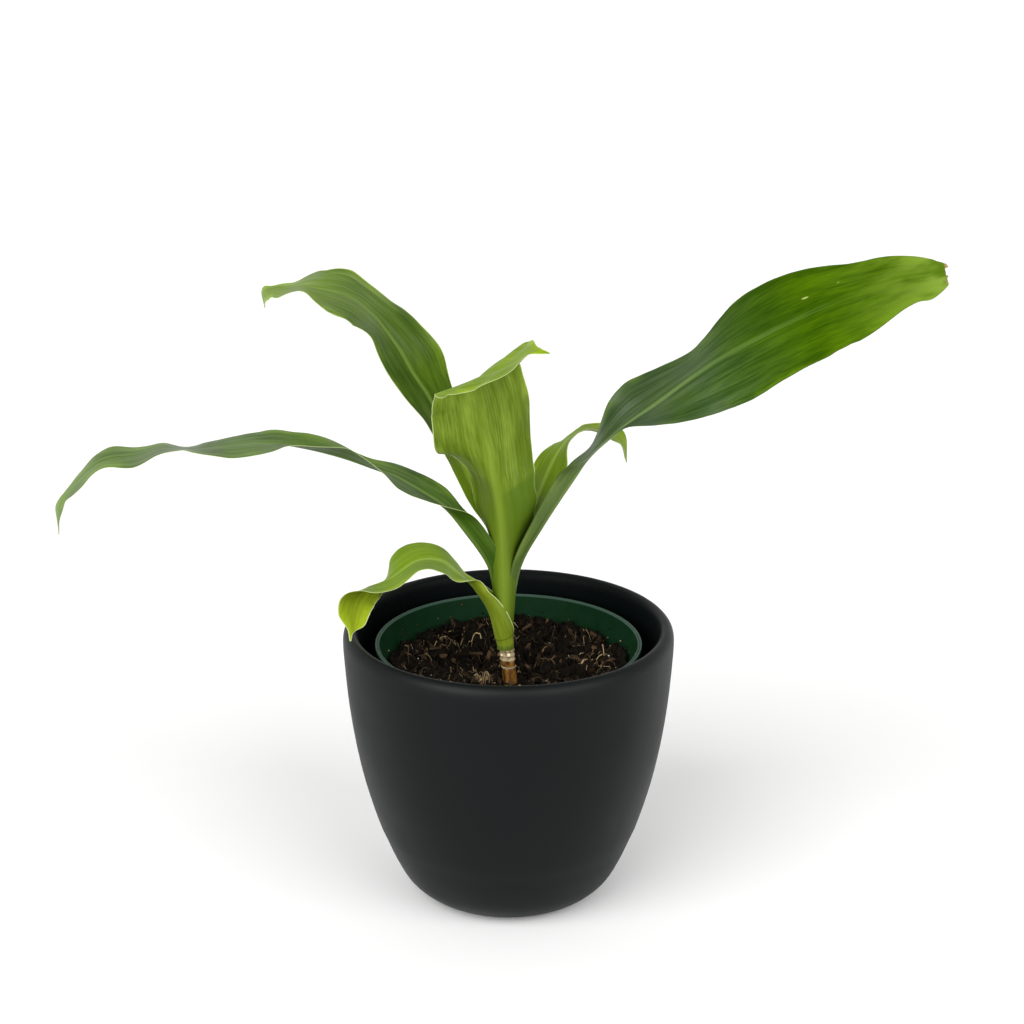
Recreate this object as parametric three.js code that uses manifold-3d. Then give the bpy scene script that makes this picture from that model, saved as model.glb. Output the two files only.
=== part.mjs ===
// A young potted corn plant: six strap leaves on a short cane, in a green
// plastic grow pot that stands inside a round charcoal planter.
// Millimetres, +Z up. The origin is the middle of the planter's foot, on the
// surface it stands on. -Y faces the viewer.
import * as THREE from 'three';
import { mergeVertices } from 'three/addons/utils/BufferGeometryUtils.js';
import Module from 'manifold-3d';

const wasm = await Module();
wasm.setup();

// ---------------------------------------------------------------- sizes

// planter: outer diameter 150, height 130
const PLANTER_SIDES = 48;
const PLANTER_OUTSIDE = [
  // [radius, height] from the foot to the lip
  [30, 0],
  [35.5, 0.6],
  [42, 4],
  [48.2, 10],
  [53.1, 19],
  [57.3, 29],
  [60.8, 38],
  [66.3, 57],
  [70.2, 76],
  [72.9, 95],
  [74.5, 114],
  [75, 123],
  [74.6, 127],
  [73.2, 129.2],
  [71.4, 130],
];
const PLANTER_INSIDE = [
  [69.6, 129.2],
  [68.5, 127],
  [68, 122],
  [67, 105],
  [64.5, 80],
  [60.5, 57],
  [54.5, 35],
  [47.5, 19],
  [41, 9.5],
  [37, 8],
];

// grow pot: rim diameter 122, standing on the planter's floor
const GROW_POT_SIDES = 44;
const GROW_POT_FLOOR = 8.3;
const GROW_POT_RIM_TOP = 121.8;
const GROW_POT_RIM_RADIUS = 61;
const GROW_POT_FOOT_RADIUS = 35.5;
const GROW_POT_WALL = 1.5;

// potting mix
const MIX_RINGS = 9;
const MIX_SIDES = 40;
const MIX_MIDDLE = 102;
const MIX_EDGE = 108.5;
const MIX_LUMP = 1.5;

// cane and shoot: [x, y, z, radius]
const CANE = [
  [1.2, -6, 60, 3.0],
  [1.2, -6, 96, 3.1],
  [0.6, -6, 104, 3.2],
  [-0.2, -6, 110, 3.1],
  [-0.9, -6, 113.5, 3.4],
  [-1.3, -6, 116, 3.2],
  [-1.6, -6, 118.4, 3.3],
];
const SHOOT = [
  [-1.7, -6, 118.8, 3.2],
  [-2, -6, 124, 3.2],
  [-2.2, -6, 134, 3.3],
  [-2.2, -6.2, 146, 3.6],
  [-2.2, -6.4, 156, 3.3],
  [-2.4, -6.4, 165, 2.2],
  [-2.6, -6.4, 171, 1],
];
const CANE_SIDES = 16;
const GAP = 0.3;

// leaves
const BLADE = 0.8;
const HALF_STRIPS = 3;

// Each leaf is a row of stations along its midrib:
// [x, y, z, half width, roll, fold, curl of the left half, curl of the right].
// Roll turns the blade about its midrib, fold lifts both halves into a V, and
// curl is how far a half bends from the midrib to its margin, all in degrees.
// Azimuth is the way the leaf grows, seen from above.
const LEAVES = {
  leaf_lower_left: {
    azimuth: 190,
    steps: 42,
    colour: 0x86a63c,
    stations: [
      [-5, -6, 122.5, 13, 0, 0, 165, 165],
      [-5.5, -6, 127, 13, 0, 0, 165, 165],
      [-7.5, -6, 133.5, 12, 0, 0, 160, 160],
      [-9.5, -7, 140.5, 10.5, 0, 10, 130, 130],
      [-13, -7, 147, 9, 17, -20, 80, 80],
      [-17.5, -8, 154, 8.5, 1, -11, 40, 40],
      [-23, -9, 159, 10, -10, -5, 10, 10],
      [-29, -10, 164, 13, -9, 2, 0, 0],
      [-36, -11, 165.5, 15, -3, 5, 0, 0],
      [-41.5, -12, 164.5, 16, 0, 7, 0, 0],
      [-46.5, -13, 161.5, 16, -2, 5, 0, 0],
      [-52, -14, 158, 15.5, 3, -2, 0, 0],
      [-57.5, -15, 156, 14.5, 19, -13, 0, 0],
      [-63, -16, 154, 13.5, 30, -14, 0, 0],
      [-67, -18, 152, 12, 47, -11, 0, 0],
      [-69, -20, 148, 10, 63, -8, 0, 0],
      [-70.5, -22, 143, 8, 76, -20, 0, 0],
      [-71.5, -24, 139, 5, 76, -20, 0, 0],
      [-71.5, -26, 135.5, 2, 76, -10, 0, 0],
      [-70.5, -28, 132, 0.6, 76, 0, 0, 0],
    ],
  },
  leaf_center: {
    azimuth: -90,
    steps: 40,
    colour: 0x7f9c3b,
    stations: [
      [-1.5, -10.5, 143, 5.5, 0, 0, 65, 65],
      [-2, -11, 159.5, 7.5, 0, 5, 80, 80],
      [-3, -12, 172.5, 11, -13, 26, 50, 50],
      [-4, -13, 184.5, 15, -25, 27, 30, 30],
      [-5.5, -14, 195.5, 18, -25, 31, 20, 20],
      [-7, -15.5, 205, 19, -15, 31, 20, 20],
      [-7.5, -17, 215, 22, 0, 25, 10, 10],
      [-9, -19, 227.5, 24.5, 12, 0, 45, 10],
      [-10.5, -23, 242, 25.5, 27, 0, 30, 0],
      [-13, -28, 255, 25.5, 40, 0, 10, 0],
      [-7.5, -35, 261.5, 23, 42, 0, 0, 0],
      [-1.5, -41, 264.5, 18.5, 40, 0, 0, 0],
      [4, -46, 267, 13.5, 44, 0, 0, 0],
      [9, -51, 271, 8.5, 48, 0, 0, 0],
      [13, -54, 273.5, 3.5, 40, 0, 0, 0],
      [17, -57, 273.5, 0.6, 30, 0, 0, 0],
    ],
  },
  leaf_right: {
    azimuth: -5,
    steps: 40,
    colour: 0x4c7a25,
    stations: [
      [3, -5.5, 141, 3, 0, 0, 40, 40],
      [6, -5.5, 160, 6.5, -1, 15, 40, 40],
      [15.5, -7, 179.5, 8, -4, 25, 30, 30],
      [28.5, -9, 202, 9.5, -11, 35, 10, 10],
      [36.5, -10, 214, 11, -2, 10, 0, 0],
      [49.5, -12, 226.5, 14, 18, 28, 0, 0],
      [63, -14, 237.5, 18, 24, 7, 0, 0],
      [79.5, -16, 251.5, 21, 30, -15, 0, 0],
      [96.5, -18, 263.5, 24, 35, -11, 0, 0],
      [126, -21, 280, 23, 45, -2, 0, 0],
      [150.5, -23, 290.5, 18.5, 40, -6, 0, 0],
      [168.5, -25, 296, 13, 40, 3, 0, 0],
      [180, -26, 298.5, 9, 41, -2, 0, 0],
      [185.5, -26, 299.5, 5, 39, 4, 0, 0],
    ],
  },
  leaf_left: {
    azimuth: 183,
    steps: 52,
    colour: 0x5d8240,
    stations: [
      [-6, -6, 142.5, 3, 0, 0, 40, 40],
      [-7.5, -6.5, 155.5, 6.5, 0, 30, 50, 50],
      [-11, -7, 165, 8, 8, 47, 20, 20],
      [-20, -8, 178.5, 8.5, 16, 52, 10, 10],
      [-27.5, -8, 188, 9.5, -6, 34, 0, 0],
      [-37, -9, 195.5, 11, -13, 15, 0, 0],
      [-48.5, -9, 203, 11, -10, 5, 0, 0],
      [-60, -10, 208, 11, 5, 17, 0, 0],
      [-72, -10, 212.5, 11.5, 14, 21, 0, 0],
      [-85, -11, 216.5, 12, 3, 21, 0, 0],
      [-98, -11, 219, 12.5, 1, 13, 0, 0],
      [-109.5, -12, 220, 12.5, -6, 1, 0, 0],
      [-121, -12, 219, 12, -6, -2, 0, 0],
      [-132.5, -13, 218, 10.5, 2, 1, 0, 0],
      [-142, -13, 217.5, 9, 14, 1, 0, 0],
      [-152, -14, 218.5, 9, 2, -1, 0, 0],
      [-164.5, -14, 214.5, 9.5, -10, -1, 0, 0],
      [-178.5, -15, 212, 8, -12, 3, 0, 0],
      [-188, -15, 204.5, 6.5, -12, -2, 0, 0],
      [-194.5, -15, 197.5, 4.5, -17, 0, 0, 0],
      [-198, -16, 191.5, 4, -28, 0, 0, 0],
      [-199, -16, 179, 0.8, -10, 0, 0, 0],
    ],
  },
  leaf_rear_right: {
    azimuth: 45,
    steps: 30,
    colour: 0x84a34a,
    stations: [
      [0.5, -2, 142, 3, 0, 0, 40, 40],
      [4.5, 1, 160.5, 5.5, 0, 20, 50, 50],
      [9.5, 6, 178, 8, 0, 20, 40, 40],
      [14.5, 12, 191, 10, -10, -10, 20, 20],
      [19.5, 18, 201, 11.5, -10, -4, 10, 10],
      [25, 23, 208.5, 10, -27, 4, 0, 0],
      [30, 28, 211.5, 9, -29, 0, 0, 0],
      [35.5, 34, 212, 9, -3, -2, 0, 0],
      [42, 40, 209.5, 9, 16, -3, 0, 0],
      [48.5, 46, 205.5, 8, 31, 2, 0, 0],
      [53, 50, 199.5, 6, 53, 5, 0, 0],
      [55, 53, 190, 0.8, 53, 0, 0, 0],
    ],
  },
  leaf_upper_left: {
    azimuth: 150,
    steps: 44,
    colour: 0x5b8436,
    stations: [
      [-4, -2, 142, 3, 0, 0, 40, 40],
      [-5.5, 0, 156.5, 6, 0, 20, 50, 50],
      [-8, 3, 171, 8, 0, 30, 30, 30],
      [-13.5, 8, 183.5, 9, -12, 20, 20, 20],
      [-20, 15, 196.5, 11, -15, 25, 10, 10],
      [-26.5, 22, 209, 13, 6, -2, 10, 10],
      [-32, 29, 220.5, 15, 3, 0, 10, 10],
      [-36.5, 34, 228, 16, -5, 1, 10, 10],
      [-43.5, 38, 237.5, 17, -10, 11, 0, 0],
      [-49.5, 42, 247, 17, -14, 16, 0, 0],
      [-57, 46, 256.5, 17, -4, 17, 0, 0],
      [-62.5, 49, 262.5, 16, -6, 4, 0, 0],
      [-69.5, 52, 267.5, 15.5, -11, 1, 0, 0],
      [-77.5, 55, 270, 14.5, -21, 8, 0, 0],
      [-86, 57, 271.5, 12, -22, 4, 0, 0],
      [-94, 59, 272, 10, -7, 4, 0, 0],
      [-101, 60, 271, 8, -11, 0, 0, 0],
      [-107.5, 61, 270, 6, -28, -2, 0, 0],
      [-111.5, 61, 267.5, 4, -51, 0, 0, 0],
      [-112, 61, 262, 0.8, -40, 0, 0, 0],
    ],
  },
};

// ---------------------------------------------------------------- helpers

const up = new THREE.Vector3(0, 0, 1);
const rad = THREE.MathUtils.degToRad;

function finish(colour, roughness) {
  return new THREE.MeshStandardMaterial({ color: colour, roughness: roughness, metalness: 0 });
}

// Position only, with shared corners merged.
function weld(geometry) {
  geometry.deleteAttribute('normal');
  geometry.deleteAttribute('uv');
  return mergeVertices(geometry, 1e-4);
}

function toSolid(geometry) {
  const g = weld(geometry);
  const vertProperties = Float32Array.from(g.attributes.position.array);
  const triVerts = Uint32Array.from(g.index.array);
  return new wasm.Manifold(new wasm.Mesh({ numProp: 3, vertProperties, triVerts }));
}

function fromSolid(solid) {
  const m = solid.getMesh();
  const g = new THREE.BufferGeometry();
  g.setAttribute('position', new THREE.BufferAttribute(Float32Array.from(m.vertProperties), 3));
  g.setIndex(Array.from(m.triVerts));
  g.computeVertexNormals();
  return g;
}

// The piece of a cut solid that matters: the one with the most volume.
function largest(solid) {
  const pieces = solid.decompose();
  pieces.sort((a, b) => b.volume() - a.volume());
  return pieces[0];
}

// A smooth run through station rows: every number is splined the same way.
function between(rows, t) {
  const last = rows.length - 1;
  const i = Math.min(Math.floor(t), last - 1);
  const s = t - i;
  return rows[0].map((_, k) => {
    const b = rows[i][k];
    const c = rows[i + 1][k];
    const a = i > 0 ? rows[i - 1][k] : 2 * b - c;
    const d = i + 2 <= last ? rows[i + 2][k] : 2 * c - b;
    const linear = (c - a) * s;
    const square = (2 * a - 5 * b + 4 * c - d) * s * s;
    const cube = (3 * b - a - 3 * c + d) * s * s * s;
    return 0.5 * (2 * b + linear + square + cube);
  });
}

// The middle surface of a leaf as a grid of points, base to tip, left to right.
// Spare makes it that much wider and longer all round.
function bladeGrid(leaf, spare) {
  const rows = leaf.stations;
  const last = rows.length - 1;
  const azimuth = rad(leaf.azimuth);
  const side = new THREE.Vector3(-Math.sin(azimuth), Math.cos(azimuth), 0);
  const grid = [];
  for (let i = 0; i <= leaf.steps; i += 1) {
    const t = (i / leaf.steps) * last;
    const row = between(rows, t);
    const ahead = between(rows, Math.min(t + 0.01, last));
    const behind = between(rows, Math.max(t - 0.01, 0));
    const along = new THREE.Vector3(ahead[0] - behind[0], ahead[1] - behind[1], ahead[2] - behind[2]);
    along.normalize();
    const s = side.clone().addScaledVector(along, -side.dot(along)).normalize();
    const n = along.clone().cross(s);
    const roll = rad(row[4]);
    const across = s.clone().multiplyScalar(Math.cos(roll)).addScaledVector(n, Math.sin(roll));
    const above = n.clone().multiplyScalar(Math.cos(roll)).addScaledVector(s, -Math.sin(roll));
    const width = Math.max(row[3], 0.6) + spare;
    const fold = rad(row[5]);
    let longer = 0;
    if (i === 0) longer = -spare;
    if (i === leaf.steps) longer = spare;
    const line = [];
    for (let k = -HALF_STRIPS; k <= HALF_STRIPS; k += 1) {
      const u = Math.abs(k) / HALF_STRIPS;
      const sign = k < 0 ? 1 : -1;
      let curl = rad(k < 0 ? row[6] : row[7]);
      curl = Math.abs(curl) < 1e-3 ? 1e-3 : curl;
      const x = (Math.sin(fold + curl * u) - Math.sin(fold)) / curl;
      const y = (Math.cos(fold) - Math.cos(fold + curl * u)) / curl;
      const p = new THREE.Vector3(row[0], row[1], row[2]);
      p.addScaledVector(along, longer);
      p.addScaledVector(across, sign * width * x);
      p.addScaledVector(above, width * y);
      line.push(p);
    }
    grid.push(line);
  }
  return grid;
}

// The way each grid point's surface faces.
function facing(grid) {
  const m = grid.length - 1;
  const w = grid[0].length - 1;
  return grid.map((line, i) => line.map((_, j) => {
    const a = grid[Math.min(i + 1, m)][j].clone().sub(grid[Math.max(i - 1, 0)][j]);
    const b = line[Math.max(j - 1, 0)].clone().sub(line[Math.min(j + 1, w)]);
    return a.cross(b).normalize();
  }));
}

// A thin closed blade: the middle surface moved half the thickness each way,
// with an edge strip all round. Both faces split their squares the same way.
function bladeGeometry(leaf, thickness, spare) {
  const grid = bladeGrid(leaf, spare);
  const normal = facing(grid);
  const m = grid.length;
  const w = grid[0].length;
  const points = [];
  for (const half of [0.5, -0.5]) {
    for (let i = 0; i < m; i += 1) {
      for (let j = 0; j < w; j += 1) {
        const p = grid[i][j].clone().addScaledVector(normal[i][j], half * thickness);
        points.push(p.x, p.y, p.z);
      }
    }
  }
  const top = (i, j) => i * w + j;
  const under = (i, j) => m * w + i * w + j;
  const index = [];
  for (let i = 0; i < m - 1; i += 1) {
    for (let j = 0; j < w - 1; j += 1) {
      index.push(top(i, j), top(i, j + 1), top(i + 1, j + 1));
      index.push(top(i, j), top(i + 1, j + 1), top(i + 1, j));
      index.push(under(i, j), under(i + 1, j + 1), under(i, j + 1));
      index.push(under(i, j), under(i + 1, j), under(i + 1, j + 1));
    }
    index.push(top(i, 0), top(i + 1, 0), under(i + 1, 0));
    index.push(top(i, 0), under(i + 1, 0), under(i, 0));
    index.push(top(i, w - 1), under(i + 1, w - 1), top(i + 1, w - 1));
    index.push(top(i, w - 1), under(i, w - 1), under(i + 1, w - 1));
  }
  for (let j = 0; j < w - 1; j += 1) {
    index.push(top(0, j), under(0, j + 1), top(0, j + 1));
    index.push(top(0, j), under(0, j), under(0, j + 1));
    index.push(top(m - 1, j), top(m - 1, j + 1), under(m - 1, j + 1));
    index.push(top(m - 1, j), under(m - 1, j + 1), under(m - 1, j));
  }
  const g = new THREE.BufferGeometry();
  g.setAttribute('position', new THREE.BufferAttribute(Float32Array.from(points), 3));
  g.setIndex(index);
  return g;
}

// A round stem through [x, y, z, radius] rows, its sections level, closed at both ends.
function stemGeometry(rows, sides, spare) {
  const points = [];
  for (const [x, y, z, r] of rows) {
    for (let j = 0; j < sides; j += 1) {
      const a = (2 * Math.PI * j) / sides;
      points.push(x + (r + spare) * Math.cos(a), y + (r + spare) * Math.sin(a), z);
    }
  }
  const first = rows[0];
  const end = rows[rows.length - 1];
  points.push(first[0], first[1], first[2]);
  points.push(end[0], end[1], end[2]);
  const bottom = rows.length * sides;
  const index = [];
  for (let j = 0; j < sides; j += 1) {
    const k = (j + 1) % sides;
    for (let i = 0; i < rows.length - 1; i += 1) {
      const a = i * sides;
      const b = a + sides;
      index.push(a + j, a + k, b + k);
      index.push(a + j, b + k, b + j);
    }
    const top = (rows.length - 1) * sides;
    index.push(bottom, k, j);
    index.push(bottom + 1, top + j, top + k);
  }
  const g = new THREE.BufferGeometry();
  g.setAttribute('position', new THREE.BufferAttribute(Float32Array.from(points), 3));
  g.setIndex(index);
  return g;
}

// A turned pot: the profile runs up the outside and down the inside.
function turned(profile, sides) {
  const path = profile.map(([r, z]) => new THREE.Vector2(r, z));
  const g = new THREE.LatheGeometry(path, sides);
  g.rotateX(Math.PI / 2);
  return g;
}

const plant = new THREE.Group();

function add(name, geometry, material) {
  const mesh = new THREE.Mesh(geometry, material);
  mesh.name = name;
  plant.add(mesh);
  return mesh;
}

// ---------------------------------------------------------------- pots

const planterProfile = [[0, 0], ...PLANTER_OUTSIDE, ...PLANTER_INSIDE, [0, 8]];
add('planter', fromSolid(toSolid(turned(planterProfile, PLANTER_SIDES))), finish(0x2f3336, 0.55));

const rim = GROW_POT_RIM_TOP;
const growPotProfile = [
  [0, GROW_POT_FLOOR],
  [GROW_POT_FOOT_RADIUS, GROW_POT_FLOOR],
  [GROW_POT_FOOT_RADIUS + 1.5, GROW_POT_FLOOR + 1.2],
  [GROW_POT_RIM_RADIUS - 1.6, rim - 4],
  [GROW_POT_RIM_RADIUS, rim - 3.4],
  [GROW_POT_RIM_RADIUS, rim - 0.5],
  [GROW_POT_RIM_RADIUS - 0.6, rim],
  [GROW_POT_RIM_RADIUS - 2, rim],
  [GROW_POT_RIM_RADIUS - 2.6, rim - 0.9],
  [GROW_POT_RIM_RADIUS - 1.6 - GROW_POT_WALL, rim - 4],
  [GROW_POT_FOOT_RADIUS + 1.5 - GROW_POT_WALL, GROW_POT_FLOOR + GROW_POT_WALL],
  [0, GROW_POT_FLOOR + GROW_POT_WALL],
];
add('nursery_pot', fromSolid(toSolid(turned(growPotProfile, GROW_POT_SIDES))), finish(0x1c3f2c, 0.5));

// ---------------------------------------------------------------- potting mix

// Inside radius of the grow pot at a height, less the gap.
function mixRadius(z) {
  const low = GROW_POT_FLOOR + GROW_POT_WALL;
  const high = GROW_POT_RIM_TOP - 4;
  const r0 = GROW_POT_FOOT_RADIUS + 1.5 - GROW_POT_WALL;
  const r1 = GROW_POT_RIM_RADIUS - 1.6 - GROW_POT_WALL;
  return r0 + ((r1 - r0) * (z - low)) / (high - low) - 0.5;
}

// The lumpy top: a shallow dish, higher at the back, with crumb sized waves.
function mixHeight(x, y) {
  const r = Math.hypot(x, y) / 55;
  const dish = MIX_MIDDLE + (MIX_EDGE - MIX_MIDDLE) * Math.min(r * r, 1.1) + 1.8 * (y / 55) * r;
  const broad = Math.sin(x * 0.19 + 1.3) * Math.cos(y * 0.23 - 0.4);
  const crumb = Math.sin(x * 0.53 - y * 0.31) * Math.sin(y * 0.61 + x * 0.17 + 0.8);
  return dish + MIX_LUMP * (0.6 * broad + 0.7 * crumb);
}

function mixGeometry() {
  const low = GROW_POT_FLOOR + GROW_POT_WALL + GAP;
  const points = [0, 0, mixHeight(0, 0)];
  const edge = mixRadius(MIX_EDGE - 4);
  for (let i = 1; i <= MIX_RINGS; i += 1) {
    for (let j = 0; j < MIX_SIDES; j += 1) {
      const a = (2 * Math.PI * (j + 0.5 * (i % 2))) / MIX_SIDES;
      const r = (edge * i) / MIX_RINGS;
      const x = r * Math.cos(a);
      const y = r * Math.sin(a);
      points.push(x, y, mixHeight(x, y));
    }
  }
  const foot = mixRadius(low);
  const start = 1 + MIX_RINGS * MIX_SIDES;
  for (let j = 0; j < MIX_SIDES; j += 1) {
    const a = (2 * Math.PI * (j + 0.5 * (MIX_RINGS % 2))) / MIX_SIDES;
    points.push(foot * Math.cos(a), foot * Math.sin(a), low);
  }
  points.push(0, 0, low);
  const index = [];
  for (let j = 0; j < MIX_SIDES; j += 1) {
    const k = (j + 1) % MIX_SIDES;
    index.push(0, 1 + j, 1 + k);
    for (let i = 0; i < MIX_RINGS - 1; i += 1) {
      const a = 1 + i * MIX_SIDES;
      const b = a + MIX_SIDES;
      if (i % 2 === 0) {
        index.push(a + j, b + j, b + k, a + j, b + k, a + k);
      } else {
        index.push(a + j, b + j, a + k, b + j, b + k, a + k);
      }
    }
    const a = start - MIX_SIDES;
    index.push(a + j, start + j, start + k, a + j, start + k, a + k);
    index.push(start + MIX_SIDES, start + k, start + j);
  }
  const g = new THREE.BufferGeometry();
  g.setAttribute('position', new THREE.BufferAttribute(Float32Array.from(points), 3));
  g.setIndex(index);
  return g;
}

// The cane stands in a plain hole in the mix.
const holeRows = CANE.map(([x, y, z, r]) => [x, y, z, r]);
holeRows[0][2] -= GAP;
const hole = toSolid(stemGeometry(holeRows, CANE_SIDES, GAP));
add('potting_mix', fromSolid(toSolid(mixGeometry()).subtract(hole)), finish(0x3a2a20, 0.95));

// ---------------------------------------------------------------- plant

add('stem', fromSolid(toSolid(stemGeometry(CANE, CANE_SIDES, 0))), finish(0x7b5f3c, 0.8));
add('shoot', fromSolid(toSolid(stemGeometry(SHOOT, CANE_SIDES, 0))), finish(0x8fa24f, 0.6));

// Leaf bases nest round the shoot. Each later leaf is trimmed where it would
// run into the shoot or a leaf outside it, so that a small gap stays.
const taken = [toSolid(stemGeometry(SHOOT, CANE_SIDES, GAP)), toSolid(stemGeometry(CANE, CANE_SIDES, GAP))];
for (const [name, leaf] of Object.entries(LEAVES)) {
  let solid = toSolid(bladeGeometry(leaf, BLADE, 0));
  for (const other of taken) {
    solid = solid.subtract(other);
  }
  add(name, fromSolid(largest(solid)), finish(leaf.colour, 0.5));
  taken.push(toSolid(bladeGeometry(leaf, BLADE + 2.4 * GAP, 1.2 * GAP)));
}

export default plant;
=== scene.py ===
# %% [markdown]
# # A potted corn plant, finished in Blender
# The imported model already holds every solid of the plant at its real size:
# two pots, the potting mix, the cane, the shoot and six leaves. This lesson
# builds finer pieces over those solids, gives each one a procedural finish,
# and lights them like a plain studio photograph. Everything is in metres, in
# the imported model's own frame: the origin is the middle of the planter's
# foot, +Z is up and -Y faces the viewer.

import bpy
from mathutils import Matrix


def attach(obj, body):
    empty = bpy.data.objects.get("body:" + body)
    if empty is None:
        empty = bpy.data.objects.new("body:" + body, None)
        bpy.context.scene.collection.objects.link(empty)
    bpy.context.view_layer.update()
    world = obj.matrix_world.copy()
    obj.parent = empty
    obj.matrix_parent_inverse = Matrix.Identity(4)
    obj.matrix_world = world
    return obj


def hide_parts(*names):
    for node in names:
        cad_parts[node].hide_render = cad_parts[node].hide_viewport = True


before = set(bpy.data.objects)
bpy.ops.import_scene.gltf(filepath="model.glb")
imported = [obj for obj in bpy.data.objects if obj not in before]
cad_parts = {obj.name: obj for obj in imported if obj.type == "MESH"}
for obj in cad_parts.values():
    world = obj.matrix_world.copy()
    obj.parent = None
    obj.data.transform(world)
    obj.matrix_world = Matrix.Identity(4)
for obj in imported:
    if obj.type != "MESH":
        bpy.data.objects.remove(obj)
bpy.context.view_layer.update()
print("solids:", ", ".join(sorted(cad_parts)))

# %% The other modules, and the unit
import math
import random

import bmesh
import bpy
from mathutils import Matrix, Vector, noise

MM = 0.001
scene = bpy.context.scene

# %% [markdown]
# ## Camera
# The photograph was taken from about a metre away with a long lens, looking
# a little down on the pot. A long lens keeps the planter's sides from
# spreading. The small shift moves the picture sideways by a few pixels,
# because the plant doesn't stand quite in the middle of it.

# %% Camera
CAMERA_BACK = 1.1
CAMERA_HEIGHT = 0.567
CAMERA_DOWN = math.radians(19.2)
PICTURE = 1024
FOCAL_PIXELS = 2610
MIDDLE_PIXEL = 508.5

lens = bpy.data.cameras.new("camera")
lens.sensor_width = 36
lens.lens = lens.sensor_width * FOCAL_PIXELS / PICTURE
lens.shift_x = (PICTURE / 2 - MIDDLE_PIXEL) / PICTURE
camera = bpy.data.objects.new("camera", lens)
camera.location = (0, -CAMERA_BACK, CAMERA_HEIGHT)
camera.rotation_euler = (math.pi / 2 - CAMERA_DOWN, 0, 0)
scene.collection.objects.link(camera)
scene.camera = camera
print("lens %.1f mm" % lens.lens)

# %% [markdown]
# ## Helpers for pieces
# Every piece ends the same way: its bmesh becomes an object at the origin, takes its finishes, rides on the
# one body of the model, and hides the solid that it stands for.


# %% Keep a finished piece
def keep(name, bm, finishes, node=None):
    """Makes the bmesh a piece of the plant, with its finishes and body, and hides its solid."""
    mesh = bpy.data.meshes.new(name)
    bm.to_mesh(mesh)
    bm.free()
    for finish in finishes:
        mesh.materials.append(finish)
    piece = bpy.data.objects.new(name, mesh)
    scene.collection.objects.link(piece)
    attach(piece, "root")
    if node:
        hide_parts(node)
    triangles = sum(len(face.vertices) - 2 for face in mesh.polygons)
    print("%s: %d triangles" % (name, triangles))
    return piece


# %% [markdown]
# A pot's outline and a leaf's midrib are both given as a few rows of numbers.
# One spline runs smoothly through the rows, whatever the numbers mean, so a
# short table is enough for a smooth shape.


# %% A smooth run through rows of numbers
def between(rows, t):
    """The row at t, where 0 is the first row and len(rows) - 1 the last."""
    last = len(rows) - 1
    i = min(int(t), last - 1)
    s = t - i
    b, c = rows[i], rows[i + 1]
    a = rows[i - 1] if i > 0 else [2 * p - q for p, q in zip(b, c)]
    d = rows[i + 2] if i + 2 <= last else [2 * q - p for p, q in zip(b, c)]
    return [
        0.5 * (2 * q + (r - p) * s + (2 * p - 5 * q + 4 * r - v) * s * s + (3 * q - p - 3 * r + v) * s**3)
        for p, q, r, v in zip(a, b, c, d)
    ]


def smooth_rows(rows, count):
    """count rows spread evenly along the run."""
    last = len(rows) - 1
    return [between(rows, last * k / (count - 1)) for k in range(count)]


# %% [markdown]
# ## Helpers for finishes
# Each finish is one Principled shader fed by noise, ramps and maps. Nodes could
# be wired by hand in the editor; here the helpers shorten the node calls, so a
# finish reads like a recipe. A noise is a number from 0 to 1, and reach turns
# a stretch of such a number into a share that two colours are blended by.


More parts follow.
